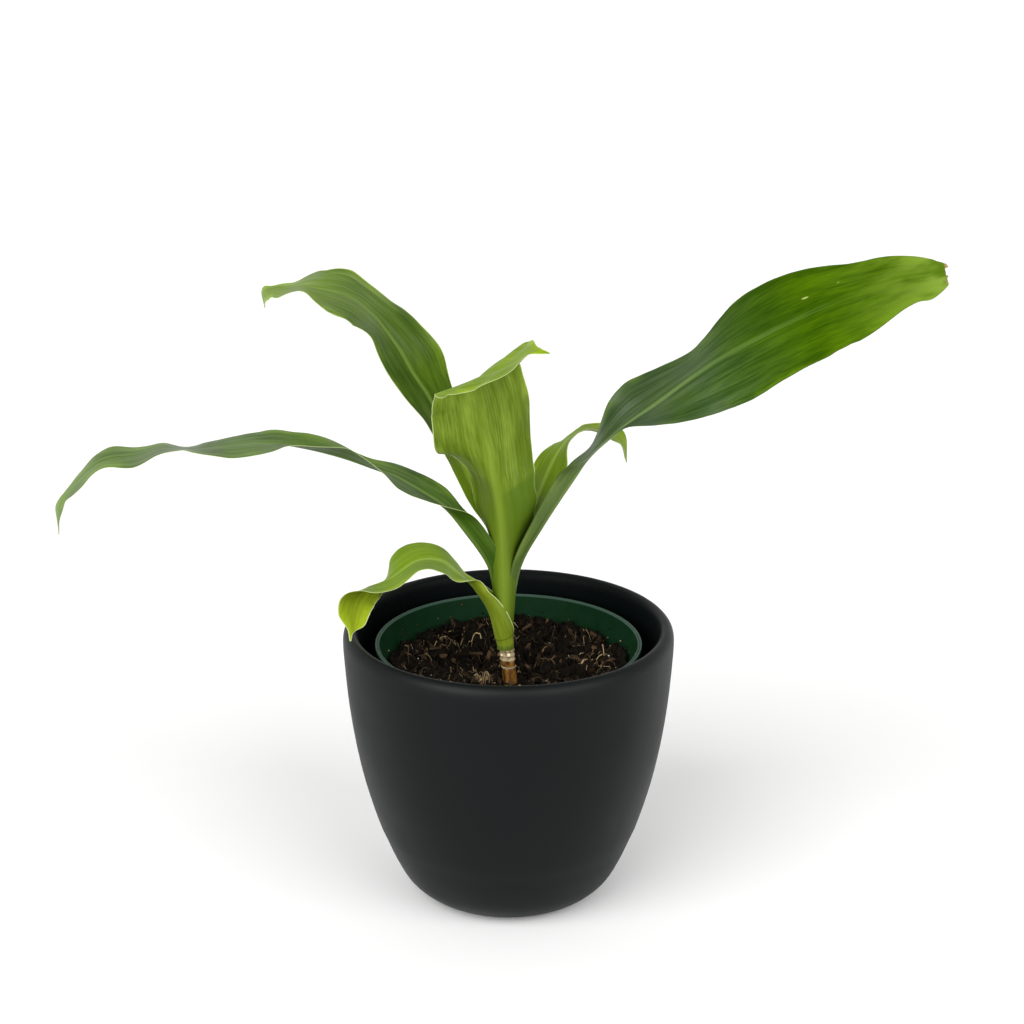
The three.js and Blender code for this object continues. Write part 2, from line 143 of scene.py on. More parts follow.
# %% A recipe for a finish
class Recipe:
    """The nodes of one finish, round a Principled shader."""

    def __init__(self, name, roughness, specular):
        self.finish = bpy.data.materials.new(name)
        self.finish.use_nodes = True
        self.tree = self.finish.node_tree
        self.shader = self.tree.nodes["Principled BSDF"]
        self.shader.inputs["Roughness"].default_value = roughness
        self.shader.inputs["Specular IOR Level"].default_value = specular

    def put(self, value, socket):
        if isinstance(value, bpy.types.NodeSocket):
            self.tree.links.new(value, socket)
        else:
            socket.default_value = value

    def node(self, kind, feeds, **settings):
        made = self.tree.nodes.new("ShaderNode" + kind)
        for name, value in settings.items():
            setattr(made, name, value)
        for socket, value in feeds.items():
            self.put(value, made.inputs[socket])
        return made

    def sums(self, operation, a, b=0.0):
        return self.node("Math", {0: a, 1: b}, operation=operation).outputs[0]

    def times(self, a, b):
        return self.sums("MULTIPLY", a, b)

    def plus(self, a, b):
        return self.sums("ADD", a, b)

    def less(self, a, b):
        return self.sums("SUBTRACT", a, b)

    def reach(self, value, start, end, low=0.0, high=1.0):
        """value from start to end, eased to low to high."""
        feeds = {"Value": value, "From Min": start, "From Max": end, "To Min": low, "To Max": high}
        return self.node("MapRange", feeds, interpolation_type="SMOOTHSTEP").outputs[0]

    def blend(self, share, a, b):
        """Colour a at share 0, colour b at share 1."""
        return self.node("Mix", {"Factor": share, 6: a, 7: b}, data_type="RGBA").outputs[2]

    def grain(self, where, scale, detail=2.0, rough=0.5):
        """Noise from 0 to 1 at a place."""
        feeds = {"Vector": where, "Scale": scale, "Detail": detail, "Roughness": rough}
        return self.node("TexNoise", feeds).outputs[0]

    def place(self, stretch=(1, 1, 1)):
        """Object coordinates in metres, stretched."""
        spot = self.node("TexCoord", {}).outputs["Object"]
        return self.node("Mapping", {"Vector": spot, "Scale": stretch}).outputs[0]

    def high(self):
        """Height above the table, in metres."""
        return self.node("SeparateXYZ", {0: self.place()}).outputs["Z"]

    def flat(self, x, y):
        """A place on a flat sheet, from two numbers."""
        return self.node("CombineXYZ", {0: x, 1: y}).outputs[0]

    def length(self, vector):
        return self.node("VectorMath", {0: vector}, operation="LENGTH").outputs["Value"]

    def dent(self, height, distance, strength=1.0):
        """Fine relief: height from 0 to 1 stands for distance, in metres."""
        feeds = {"Height": height, "Distance": distance, "Strength": strength}
        bump = self.node("Bump", feeds).outputs[0]
        self.put(bump, self.shader.inputs["Normal"])

    def gloss(self, amount):
        self.put(amount, self.shader.inputs["Specular IOR Level"])

    def paint(self, colour, roughness=None):
        """Sets the colour, and the roughness where it varies, and gives the finish."""
        self.put(colour, self.shader.inputs["Base Color"])
        if roughness is not None:
            self.put(roughness, self.shader.inputs["Roughness"])
        return self.finish


def shade(red, green, blue):
    """A linear colour."""
    return (red, green, blue, 1)


# %% [markdown]
# ## Planter
# The outer pot is a round charcoal planter, 150 mm across and 130 mm high,
# with a rounded lip. It could be pressed from a cylinder, but a turned pot is
# quickest as a profile that spins round its axis. The profile runs from the
# middle of the foot up the outside, over the lip and down the inside, so the
# wall gets its true thickness and the shape closes on itself.

# %% Spin a profile
PLANTER_OUTSIDE = [
    [30, 0], [35.5, 0.6], [42, 4], [48.2, 10], [53.1, 19], [57.3, 29], [60.8, 38], [66.3, 57],
    [70.2, 76], [72.9, 95], [74.5, 114], [75, 123], [74.6, 127], [73.2, 129.2], [71.4, 130],
]
PLANTER_INSIDE = [
    [69.6, 129.2], [68.5, 127], [68, 122], [67, 105], [64.5, 80], [60.5, 57], [54.5, 35],
    [47.5, 19], [41, 9.5], [37, 8],
]
PLANTER_FOOT = [[0, 0], [15, 0]]
PLANTER_FLOOR = [[20, 8], [0, 8]]
SIDE_POINTS, PLANTER_STEPS = 97, 128


def spun(profile, steps):
    """A closed turned shape from [radius, height] rows in millimetres."""
    bm = bmesh.new()
    line = [bm.verts.new((radius * MM, 0, height * MM)) for radius, height in profile]
    for low, high in zip(line, line[1:]):
        bm.edges.new((low, high))
    bmesh.ops.spin(
        bm, geom=bm.verts[:] + bm.edges[:], cent=(0, 0, 0), axis=(0, 0, 1), dvec=(0, 0, 0),
        angle=math.tau, steps=steps, use_merge=True, use_duplicate=False,
    )
    bmesh.ops.remove_doubles(bm, verts=bm.verts, dist=1e-6)
    bmesh.ops.recalc_face_normals(bm, faces=bm.faces)
    for face in bm.faces:
        face.smooth = True
    return bm


planter_side = smooth_rows(PLANTER_OUTSIDE + PLANTER_INSIDE, SIDE_POINTS)
planter_profile = PLANTER_FOOT + planter_side + PLANTER_FLOOR
planter_bmesh = spun(planter_profile, PLANTER_STEPS)
print("profile has %d points" % len(planter_profile))

# %% [markdown]
# The planter's finish is charcoal plastic, nearly black from the front and
# softly lighter where it turns away at both sides. The colour changes very
# little, so most of the look comes from a satin roughness, a broad smudge in
# it, and a fine grain that breaks the highlight up. The lip is rubbed a bit
# shinier than the wall, and the dim upper part of the inside shines least.

# %% Charcoal plastic
WALL_GLOSS, LIP_GLOSS = 0.13, 0.16
INSIDE_DULLER = 0.09

charcoal = Recipe("charcoal_plastic", roughness=0.48, specular=WALL_GLOSS)
smudge = charcoal.grain(charcoal.place(), 22, 3)
fine = charcoal.grain(charcoal.place(), 1500, 2)
charcoal.dent(fine, 0.00006, 0.5)
charcoal_tone = charcoal.blend(smudge, shade(0.0016, 0.0028, 0.0028), shade(0.0030, 0.0044, 0.0044))
charcoal.paint(charcoal_tone, charcoal.reach(smudge, 0.3, 0.7, 0.44, 0.52))
within_wall = charcoal.reach(charcoal.length(charcoal.place((1, 1, 0))), 0.0702, 0.0692)
inside = charcoal.times(within_wall, charcoal.reach(charcoal.high(), 0.085, 0.095))
lip_gloss = charcoal.reach(charcoal.high(), 0.121, 0.128, WALL_GLOSS, LIP_GLOSS)
charcoal.gloss(charcoal.less(lip_gloss, charcoal.times(inside, INSIDE_DULLER)))
keep("planter_shell", planter_bmesh, [charcoal.finish], "planter")

# %% [markdown]
# ## Grow pot
# Inside the planter stands the thin green pot that the plant was grown in.
# Its rim shows two fine raised lines with a groove between them, the way a
# moulded pot's stacking rim does. Both are a few more rows of the profile, so
# this pot is spun like the planter, with no ring to be added afterwards.

# %% Grow pot
GROW_POT_FLOOR = 8.3
GROW_POT_RIM = 121.8
GROW_POT_RIM_RADIUS = 60.6
GROW_POT_FOOT_RADIUS = 35.5
GROW_POT_WALL = 1.5
GROW_POT_STEPS = 120
rim, lip = GROW_POT_RIM, GROW_POT_RIM_RADIUS
grow_pot_profile = [
    [0, GROW_POT_FLOOR], [GROW_POT_FOOT_RADIUS, GROW_POT_FLOOR],
    [GROW_POT_FOOT_RADIUS + 1.1, GROW_POT_FLOOR + 0.3], [GROW_POT_FOOT_RADIUS + 1.5, GROW_POT_FLOOR + 1.2],
    [lip - 1.4, rim - 4], [lip - 1.1, rim - 3.6], [lip - 0.3, rim - 3.4], [lip, rim - 3],
    [lip, rim - 0.6], [lip - 0.1, rim - 0.2], [lip - 0.35, rim], [lip - 0.6, rim - 0.1],
    [lip - 0.75, rim - 0.5], [lip - 1.25, rim - 0.6], [lip - 1.4, rim - 0.25], [lip - 1.65, rim - 0.15],
    [lip - 1.9, rim - 0.4], [lip - 2.05, rim - 1.2],
    [lip - 1.4 - GROW_POT_WALL, rim - 4],
    [GROW_POT_FOOT_RADIUS + 1.5 - GROW_POT_WALL, GROW_POT_FLOOR + GROW_POT_WALL],
    [0, GROW_POT_FLOOR + GROW_POT_WALL],
]
grow_pot_bmesh = spun(grow_pot_profile, GROW_POT_STEPS)
print("grow pot's rim is %.0f mm across" % (2 * GROW_POT_RIM_RADIUS))

# %% [markdown]
# Thin moulded plastic is a little glossy, and this one is filmed with dried mix, so a fine noise makes its
# green lighter and darker. In its last millimetre the rim gets more gloss and a painted highlight: its green
# is lightened to a pale green for the light that its edges catch.

# %% Green plastic
green_plastic = Recipe("green_plastic", roughness=0.45, specular=0.02)
grime = green_plastic.grain(green_plastic.place(), 160, 4, 0.6)
green_tone = green_plastic.blend(grime, shade(0.0026, 0.017, 0.0056), shade(0.0080, 0.031, 0.0125))
green_plastic.dent(green_plastic.grain(green_plastic.place((1, 1, 0.3)), 500, 2), 0.00005, 0.5)
rim_highlight = green_plastic.reach(green_plastic.high(), (GROW_POT_RIM - 0.9) * MM, (GROW_POT_RIM - 0.2) * MM)
green_plastic.gloss(green_plastic.reach(rim_highlight, 0, 1, 0.02, 0.12))
# painted highlight: the rim's last millimetre is lightened to a pale green
green_tone = green_plastic.blend(rim_highlight, green_tone, shade(0.045, 0.085, 0.062))
green_plastic.paint(green_tone, green_plastic.reach(grime, 0.3, 0.7, 0.34, 0.5))
keep("grow_pot_shell", grow_pot_bmesh, [green_plastic.finish], "nursery_pot")

# %% [markdown]
# ## Potting mix
# The mix is a moist heap of peat and bark fibre, lower in the middle and
# higher against the back wall. A turned disc gives its outline and its side.
# The top is then lifted point by point: broad waves as in the solid, then
# clods with hollows between them, and grit, all from fractal noise. A
# Displace modifier could do that too, but a plain function of the place can
# also say how high each loose crumb has to lie.

# %% How high the mix stands
MIX_MIDDLE = 102
MIX_EDGE = 108.5
MIX_RADIUS = 54.4
MIX_REACH = 55
MIX_LUMP = 1.5
BACK_RISE = 1.8
MOUND = (27, 24)
MOUND_HEIGHT, MOUND_SPREAD = 5, 110
CLOD_HEIGHT, CLOD_MIDDLE = 7.5, 0.55
GRIT_HEIGHT = 0.8
HOLLOW_ANGLE = math.radians(27)
HOLLOW_WIDTH, HOLLOW_DEPTH = 0.07, 60


def clod_rise(x, y):
    """How far a place stands out of the hollows between the clods, from 0 to 1."""
    depth = noise.turbulence(Vector((x, y, 0)) * 0.19, 5, True)
    return min(1.0, max(0.0, (1.0 - depth) / 0.75))


def mix_height(x, y):
    """Height of the mix's top at a place, all in millimetres."""
    share = math.hypot(x, y) / MIX_REACH
    dish = MIX_MIDDLE + (MIX_EDGE - MIX_MIDDLE) * min(share**2, 1.1) + BACK_RISE * (y / MIX_REACH) * share
    broad = math.sin(x * 0.19 + 1.3) * math.cos(y * 0.23 - 0.4)
    crumb = math.sin(x * 0.53 - y * 0.31) * math.sin(y * 0.61 + x * 0.17 + 0.8)
    mound = MOUND_HEIGHT * math.exp(-((x - MOUND[0]) ** 2 + (y - MOUND[1]) ** 2) / MOUND_SPREAD)
    height = dish + mound + MIX_LUMP * (0.6 * broad + 0.7 * crumb)
    grit = noise.fractal(Vector((x, y, 3)) * 0.8, 0.8, 2.1, 3)
    height += CLOD_HEIGHT * (clod_rise(x, y) - CLOD_MIDDLE) + GRIT_HEIGHT * grit
    turn = math.atan2(y, x) - HOLLOW_ANGLE
    hollow = math.exp(-((turn / HOLLOW_WIDTH) ** 2)) * max(0.0, share - 0.9) * HOLLOW_DEPTH
    return height - hollow


trial = range(-50, 51, 5)
heights = [mix_height(x, y) for x in trial for y in trial if math.hypot(x, y) < 50]
print("mix stands %.0f to %.0f mm high" % (min(heights), max(heights)))

# %% [markdown]
# The disc has a ring of points for each 0.7 mm of its radius, fine enough for the clods. Each point of the
# top also takes a number called tint from the same noise: clod tops are a little brown, and the hollows are
# nearly black, a painted shade for the shadow that falls in them.

# %% Turn and lift the mix
MIX_TOP_POINTS = 76
MIX_STEPS = 250
TOP_TINT, HOLLOW_SHADE_TINT = 0.14, -0.36

mix_low = GROW_POT_FLOOR + GROW_POT_WALL + 0.3
mix_foot = GROW_POT_FOOT_RADIUS - 0.5
mix_profile = [[MIX_RADIUS * k / MIX_TOP_POINTS, MIX_EDGE] for k in range(MIX_TOP_POINTS + 1)]
mix_profile += [[mix_foot, mix_low], [0, mix_low]]
mix_bmesh = spun(mix_profile, MIX_STEPS)
bed_tint = mix_bmesh.verts.layers.float.new("tint")
for point in mix_bmesh.verts:
    if point.co.z > (MIX_EDGE - 1) * MM:
        x, y = point.co.x / MM, point.co.y / MM
        point.co.z = mix_height(x, y) * MM
        # painted shade: points in the hollows get a darker tint than the clod tops
        point[bed_tint] = HOLLOW_SHADE_TINT + (TOP_TINT - HOLLOW_SHADE_TINT) * clod_rise(x, y)
print("mix has %d points" % len(mix_bmesh.verts))

# %% [markdown]
# The same mix comes as a bed, loose crumbs, chips and fibres. They share one
# recipe, which reads each point's tint: dark peat at 0, bark brown at a half
# and dry tan at 1. That way one finish covers hundreds of crumbs without two
# being alike. A fine speckle shifts the tint a little on the way.


# %% Peat, bark and fibre
def peat_finish(name, speckle):
    """Moist mix; speckle says how far the fine noise shifts the tint."""
    peat = Recipe(name, roughness=0.8, specular=0.08)
    tint = peat.node("Attribute", {}, attribute_name="tint").outputs["Fac"]
    speck = peat.grain(peat.place(), 700, 3, 0.6)
    patch = peat.grain(peat.place(), 120, 2)
    mixed = peat.plus(tint, peat.times(peat.less(speck, 0.5), speckle))
    peat_colour = peat.blend(patch, shade(0.0016, 0.0012, 0.0008), shade(0.0080, 0.0054, 0.0028))
    bark = peat.blend(peat.reach(mixed, 0.12, 0.6), peat_colour, shade(0.082, 0.050, 0.025))
    tan = peat.blend(peat.reach(mixed, 0.55, 1.0), bark, shade(0.46, 0.34, 0.18))
    peat.dent(speck, 0.0006, 0.7)
    return peat.paint(tan)


peat_bed = peat_finish("peat_bed", 0.45)
peat_loose = peat_finish("peat_loose", 0.35)
keep("mix_bed", mix_bmesh, [peat_bed], "potting_mix")

# %% [markdown]
# Crumbs are small icospheres of twenty faces, squashed and dented so that none is round. They could be
# instances that a particle system or Geometry Nodes scatters, but real points in one mesh are simpler to
# keep and to export. A seeded random draw spreads them over the bed, so the heap is the same on every run.
# Those on the clods may be browner than those in the hollows, which are kept darker as painted shade.

# %% A place, a turn and a tint for a loose bit
CANE_SPOT = (1.2, -6)
CANE_CLEAR = 4.5
LOOSE_REACH = 53
draw = random.Random(11)


def spot_on_mix(reach=LOOSE_REACH):
    """A random place on the mix, in millimetres, that is clear of the cane."""
    while True:
        x, y = draw.uniform(-reach, reach), draw.uniform(-reach, reach)
        from_cane = math.hypot(x - CANE_SPOT[0], y - CANE_SPOT[1])
        if math.hypot(x, y) < reach and from_cane > CANE_CLEAR:
            return x, y


def on_mix(x, y, above):
    """A move to a place on the mix and so many millimetres above it."""
    return Matrix.Translation(Vector((x, y, mix_height(x, y) + above)) * MM)


def turned_any_way():
    """A random turn about all three axes."""
    turns = [Matrix.Rotation(draw.uniform(0, math.tau), 4, axis) for axis in "XYZ"]
    return turns[0] @ turns[1] @ turns[2]


def jitter(points, most):
    """Moves each point at random, by at most so many millimetres along each axis."""
    for point in points:
        point.co += Vector([draw.uniform(-most, most) * MM for _ in range(3)])


def set_tint(bm, points, value):
    layer = bm.verts.layers.float.get("tint") or bm.verts.layers.float.new("tint")
    for point in points:
        point[layer] = value


print("loose bits keep %.1f mm away from the cane's middle" % CANE_CLEAR)

# %% [markdown]
# Most crumbs are small, and only a few are large or brown: a draw from 0 to 1
# that is raised to the third power is seldom near 1.

# %% Crumbs
CRUMBS = 1900
crumbs = bmesh.new()
crumbs.verts.layers.float.new("tint")
for _ in range(CRUMBS):
    x, y = spot_on_mix()
    size = 0.4 + 1.5 * draw.random() ** 3
    squash = Matrix.Diagonal((draw.uniform(0.9, 2.8), draw.uniform(0.5, 1.0), draw.uniform(0.3, 0.8), 1))
    shape = on_mix(x, y, 0.3 * size) @ turned_any_way() @ squash
    made = bmesh.ops.create_icosphere(crumbs, subdivisions=1, radius=size * MM, matrix=shape)
    jitter(made["verts"], 0.25 * size)
    # painted shade: crumbs in the hollows get a darker tint than those on the clods
    set_tint(crumbs, made["verts"], 0.5 * draw.random() ** 3 * (0.2 + clod_rise(x, y)))
keep("mix_crumbs", crumbs, [peat_loose])

# %% [markdown]
# Bark chips are flat splinters a few millimetres long, which lie nearly level,
# half sunk in the peat. Each one is a cube of its own length, width and
# thickness with its corners knocked about, and one bevel softens all of them.

# %% Bark chips
CHIPS = 300
chips = bmesh.new()
chips.verts.layers.float.new("tint")
for _ in range(CHIPS):
    x, y = spot_on_mix(50)
    long, wide, thick = draw.uniform(1.5, 6.5), draw.uniform(0.5, 1.8), draw.uniform(0.3, 0.9)
    tip = Matrix.Rotation(draw.uniform(-0.7, 0.7), 4, "X")
    tip = tip @ Matrix.Rotation(draw.uniform(-0.55, 0.55), 4, "Y")
    place = on_mix(x, y, draw.uniform(0.2, 1.6))
    turn = Matrix.Rotation(draw.uniform(0, math.tau), 4, "Z")
    size = Matrix.Diagonal((long, wide, thick, 1))
    made = bmesh.ops.create_cube(chips, size=MM, matrix=place @ turn @ tip @ size)
    jitter(made["verts"], 0.45)
    # painted shade: chips in the hollows get a darker tint than those on the clods
    set_tint(chips, made["verts"], 0.42 * draw.random() ** 2.2 * (0.2 + clod_rise(x, y)))
bmesh.ops.bevel(
    chips, geom=chips.edges[:], offset=0.15 * MM, offset_type="OFFSET", segments=1, profile=0.5,
    affect="EDGES", material=-1, clamp_overlap=True,
)
keep("mix_chips", chips, [peat_loose])

# %% [markdown]
# Roots and coir fibres lie over the mix as thin threads, most of them dark and
# a few of them tan. A bevelled curve could make each one, but hundreds of
# curves are slow to turn into meshes. Instead one straight thread is made once:
# a four-sided cone that is cut into short lengths. Each fibre is a copy of it,
# bent along a curve that follows the bed.

# %% One straight thread
straight = bmesh.new()
bmesh.ops.create_cone(straight, cap_ends=True, segments=4, radius1=0.5, radius2=0.3, depth=1)
lengthwise = [e for e in straight.edges if abs(e.verts[0].co.z - e.verts[1].co.z) > 0.5]
bmesh.ops.subdivide_edges(straight, edges=lengthwise, cuts=6, use_grid_fill=True)
straight_thread = bpy.data.meshes.new("straight_thread")
straight.to_mesh(straight_thread)
straight.free()
print("a thread has %d points" % len(straight_thread.vertices))


# %% Bend a thread
def strand(bm, path, thick, tint):
    """A copy of the straight thread, thick metres across, bent along path(share)."""
    before = len(bm.verts)
    bm.from_mesh(straight_thread)
    bm.verts.ensure_lookup_table()
    points = bm.verts[before:]
    for point in points:
        share = point.co.z + 0.5
        ahead = (path(min(share + 0.02, 1)) - path(max(share - 0.02, 0))).normalized()
        side = ahead.cross(Vector((0, 0, 1))).normalized()
        point.co = path(share) + (side * point.co.x + side.cross(ahead) * point.co.y) * thick
    set_tint(bm, points, tint)


def lying_path(x, y, heading, length, bend, lift, off=0.35):
    """A curve of so many millimetres over the mix, off it by off and in its middle by lift more."""

    def path(share):
        turn = heading + bend * (share - 0.5)
        px = x + length * (share - 0.5) * math.cos(turn)
        py = y + length * (share - 0.5) * math.sin(turn)
        far = math.hypot(px, py)
        if far > LOOSE_REACH:
            px, py = px * LOOSE_REACH / far, py * LOOSE_REACH / far
        hump = lift * math.sin(math.pi * share)
        return Vector((px, py, mix_height(px, py) + off + hump)) * MM

    return path


# %% [markdown]
# Few fibres are thick or pale, so the draws for both are raised to a power,
# which makes most of them small. Left of the cane a knot of paler roots comes
# through the mix: short threads that start close together and arch higher.

# %% Fibres and the knot of roots
FIBRES = 420
KNOT_ROOTS = 36
KNOT_SPOT = (-11.6, -9)
fibres = bmesh.new()
fibres.verts.layers.float.new("tint")
for _ in range(FIBRES):
    x, y = spot_on_mix(50)
    heading, length = draw.uniform(0, math.tau), draw.uniform(4, 15)
    path = lying_path(x, y, heading, length, draw.uniform(-1.2, 1.2), draw.uniform(0, 2.2))
    strand(fibres, path, (0.18 + 0.8 * draw.random() ** 3) * MM, 0.15 + 0.8 * draw.random() ** 2.6)
for _ in range(KNOT_ROOTS):
    x, y = KNOT_SPOT[0] + draw.uniform(-3, 3), KNOT_SPOT[1] + draw.uniform(-2, 2)
    heading, bend = draw.uniform(0, math.tau), draw.uniform(-1.8, 1.8)
    path = lying_path(x, y, heading, draw.uniform(3, 8), bend, draw.uniform(1, 4), off=1.2)
    strand(fibres, path, draw.uniform(0.25, 0.55) * MM, draw.uniform(0.5, 1.05))
keep("mix_fibres", fibres, [peat_loose])

# %% [markdown]
# A few white grains of perlite lie between the crumbs. They are the same small
# icospheres, pale and a little chalky.

# %% Perlite
PERLITE_GRAINS = 14
perlite = Recipe("perlite", roughness=0.8, specular=0.3)
chalk = perlite.grain(perlite.place(), 900, 3)
perlite.paint(perlite.blend(chalk, shade(0.42, 0.38, 0.30), shade(0.75, 0.72, 0.65)))
grains = bmesh.new()
for _ in range(PERLITE_GRAINS):
    x, y = spot_on_mix()
    size = draw.uniform(0.2, 0.45)
    place = on_mix(x, y, 0.6)
    bmesh.ops.create_icosphere(grains, subdivisions=1, radius=size * MM, matrix=place @ turned_any_way())
keep("mix_perlite", grains, [perlite.finish])

# %% [markdown]
# Watering splashes crumbs on the green wall above the mix, where they dry and
# stick. Each one needs the wall's radius at its own height, so that it touches
# the wall and doesn't float. Most lie close above the mix.


# %% Crumbs on the wall
def wall_radius(height):
    """Inside radius of the grow pot at a height, in millimetres."""
    low, high = GROW_POT_FLOOR + GROW_POT_WALL, GROW_POT_RIM - 4
    r_low = GROW_POT_FOOT_RADIUS + 1.5 - GROW_POT_WALL
    r_high = GROW_POT_RIM_RADIUS - 1.4 - GROW_POT_WALL
    return r_low + (r_high - r_low) * (height - low) / (high - low)


WALL_CRUMBS = 130
stuck = bmesh.new()
stuck.verts.layers.float.new("tint")
for _ in range(WALL_CRUMBS):
    angle = draw.uniform(0, math.tau)
    around = Vector((math.cos(angle), math.sin(angle)))
    soil = mix_height(*(around * 54))
    height = soil + 9 * draw.random() ** 2.5 - 0.5
    size = draw.uniform(0.15, 0.45)
    radius = wall_radius(min(height, GROW_POT_RIM - 4)) - 0.3 * size
    place = Matrix.Translation(Vector((around.x * radius, around.y * radius, height)) * MM)
    stretch = Matrix.Diagonal((1, draw.uniform(0.8, 2.2), draw.uniform(0.6, 1.2), 1))
    turn = Matrix.Rotation(angle, 4, "Z")
    made = bmesh.ops.create_icosphere(stuck, subdivisions=1, radius=size * MM, matrix=place @ turn @ stretch)
    set_tint(stuck, made["verts"], draw.choice([0.1, 0.3, 0.5, 0.9]))
keep("wall_crumbs", stuck, [peat_loose])

# %% [markdown]
# ## Cane
# The cane is a thin brown stem, papery, with the scars of old leaves round it.
# The green shoot that goes on above it is a round stem too. A curve with a
# round bevel could make them, but a ring of points that is extruded upwards
# again and again lets each ring have its own width, place and roughness.


# %% Grow a round stem
def round_stem(rows, sides, roughen):
    """A closed stem through [x, y, z, radius] rows in millimetres."""
    bm = bmesh.new()
    ring = bmesh.ops.create_circle(bm, cap_ends=True, segments=sides, radius=1)["verts"]
    edges = list({e for v in ring for e in v.link_edges})
    for number, (x, y, z, radius) in enumerate(rows):
        if number:
            made = bmesh.ops.extrude_edge_only(bm, edges=edges)["geom"]
            ring = [g for g in made if isinstance(g, bmesh.types.BMVert)]
            edges = [g for g in made if isinstance(g, bmesh.types.BMEdge)]
        for point in ring:
            flat = Vector((point.co.x, point.co.y)) - (last_middle if number else Vector((0, 0)))
            around = flat.normalized()
            wide = radius + roughen(around, z)
            point.co = Vector((x + wide * around.x, y + wide * around.y, z)) * MM
        last_middle = Vector((x, y)) * MM
    bmesh.ops.contextual_create(bm, geom=edges)
    bmesh.ops.recalc_face_normals(bm, faces=bm.faces)
    for face in bm.faces:
        face.smooth = len(face.verts) == 4
    return bm


# %% [markdown]
# The leaves that once clasped the cane have left raised rings, which are bumps
# on its radius. Between them flakes a dry skin, which is fractal noise that is
# stretched along the cane.

# %% Cane
CANE = [
    [1.2, -6, 60, 3.0], [1.2, -6, 96, 3.1], [0.8, -6, 104, 3.2], [0.2, -6, 110, 3.1],
    [-0.1, -6, 113.5, 3.2], [-0.4, -6, 116, 3.2], [-0.6, -6, 118.4, 3.3], [-0.8, -6, 121, 3.2],
]
CANE_RINGS, CANE_SIDES = 190, 36
FLAKE_HEIGHT = 0.16
SCARS = [(105.5, 0.15, 0.4), (112.4, 0.3, 0.35), (115.9, 0.38, 0.5), (118, 0.2, 0.35), (120.4, 0.35, 0.4)]


def cane_skin(around, z):
    """Ridges at the scars, and a flaky skin, in millimetres."""
    ridge = sum(out * math.exp(-(((z - middle) / wide) ** 2)) for middle, out, wide in SCARS)
    flakes = noise.fractal(Vector((around.x * 2.2, around.y * 2.2, z * 0.25)), 0.9, 2.2, 3)
    return ridge + FLAKE_HEIGHT * flakes


cane_bmesh = round_stem(smooth_rows(CANE, CANE_RINGS), CANE_SIDES, cane_skin)
print("cane has %d scars" % len(SCARS))

# %% [markdown]
# The bark is brown and mottled. Its top stretch, where leaves fell last, is
# pale, and one pale ring lies below it. A wobble from the mottle keeps their
# edges from being ruled lines. Two buds show on the pale stretch as light dots
# with a brown ring: the distance from each bud's middle draws both.

# %% Bark
PALE_FROM = 115.8
PALE_RING = (112.4, 113.6)
BUD_DOTS = [(-3.0, -8.2, 118.6, 0.8), (0.1, -9.2, 118.9, 0.9)]
BUD_RING = 0.5

bark = Recipe("cane_bark", roughness=0.65, specular=0.1)
flake = bark.grain(bark.place((1, 1, 0.35)), 420, 4, 0.65)
wobble = bark.plus(bark.high(), bark.times(flake, 1.6 * MM))
brown = bark.blend(bark.reach(flake, 0.35, 0.65), shade(0.030, 0.012, 0.003), shade(0.23, 0.105, 0.020))
pale = bark.blend(bark.reach(flake, 0.4, 0.6), shade(0.17, 0.125, 0.065), shade(0.38, 0.30, 0.18))
bark_tone = bark.blend(bark.reach(wobble, PALE_FROM * MM, (PALE_FROM + 0.8) * MM), brown, pale)
ring_foot = bark.reach(wobble, PALE_RING[0] * MM, (PALE_RING[0] + 0.4) * MM)
ring_top = bark.reach(wobble, PALE_RING[1] * MM, (PALE_RING[1] - 0.4) * MM)
bark_tone = bark.blend(bark.times(ring_foot, ring_top), bark_tone, shade(0.40, 0.34, 0.22))
bark.dent(flake, 0.0004, 0.6)
for x, y, z, radius in BUD_DOTS:
    far = bark.node("VectorMath", {0: bark.place(), 1: (x * MM, y * MM, z * MM)}, operation="DISTANCE")
    dot = bark.reach(far.outputs["Value"], (radius + BUD_RING) * MM, radius * MM, 0.0, 0.8)
    bark_tone = bark.blend(dot, bark_tone, shade(0.30, 0.20, 0.09))
    dot = bark.reach(far.outputs["Value"], radius * MM, (radius - 0.35) * MM)
    bark_tone = bark.blend(dot, bark_tone, shade(0.80, 0.72, 0.50))
bark.paint(bark_tone)
keep("cane_stem", cane_bmesh, [bark.finish], "stem")

# %% [markdown]
# ## Leaves
# A corn plant's leaf is a long strap: a narrow channel at its base that
# clasps the shoot, a broad blade with a pale midrib, and a drawn-out tip. It
# waves, rolls and folds on its way. A flat sheet could be bent with curve and
# lattice modifiers, but all those turns are easier to set where they happen.
# So each leaf is a table of stations along its midrib, in millimetres and
# degrees, close to the one that its solid was made from:
# [x, y, z, half width, roll, fold, curl of the left half, curl of the right].
# Roll turns the blade about its midrib, fold lifts both halves into a V and
# curl bends each half on its way to the margin.

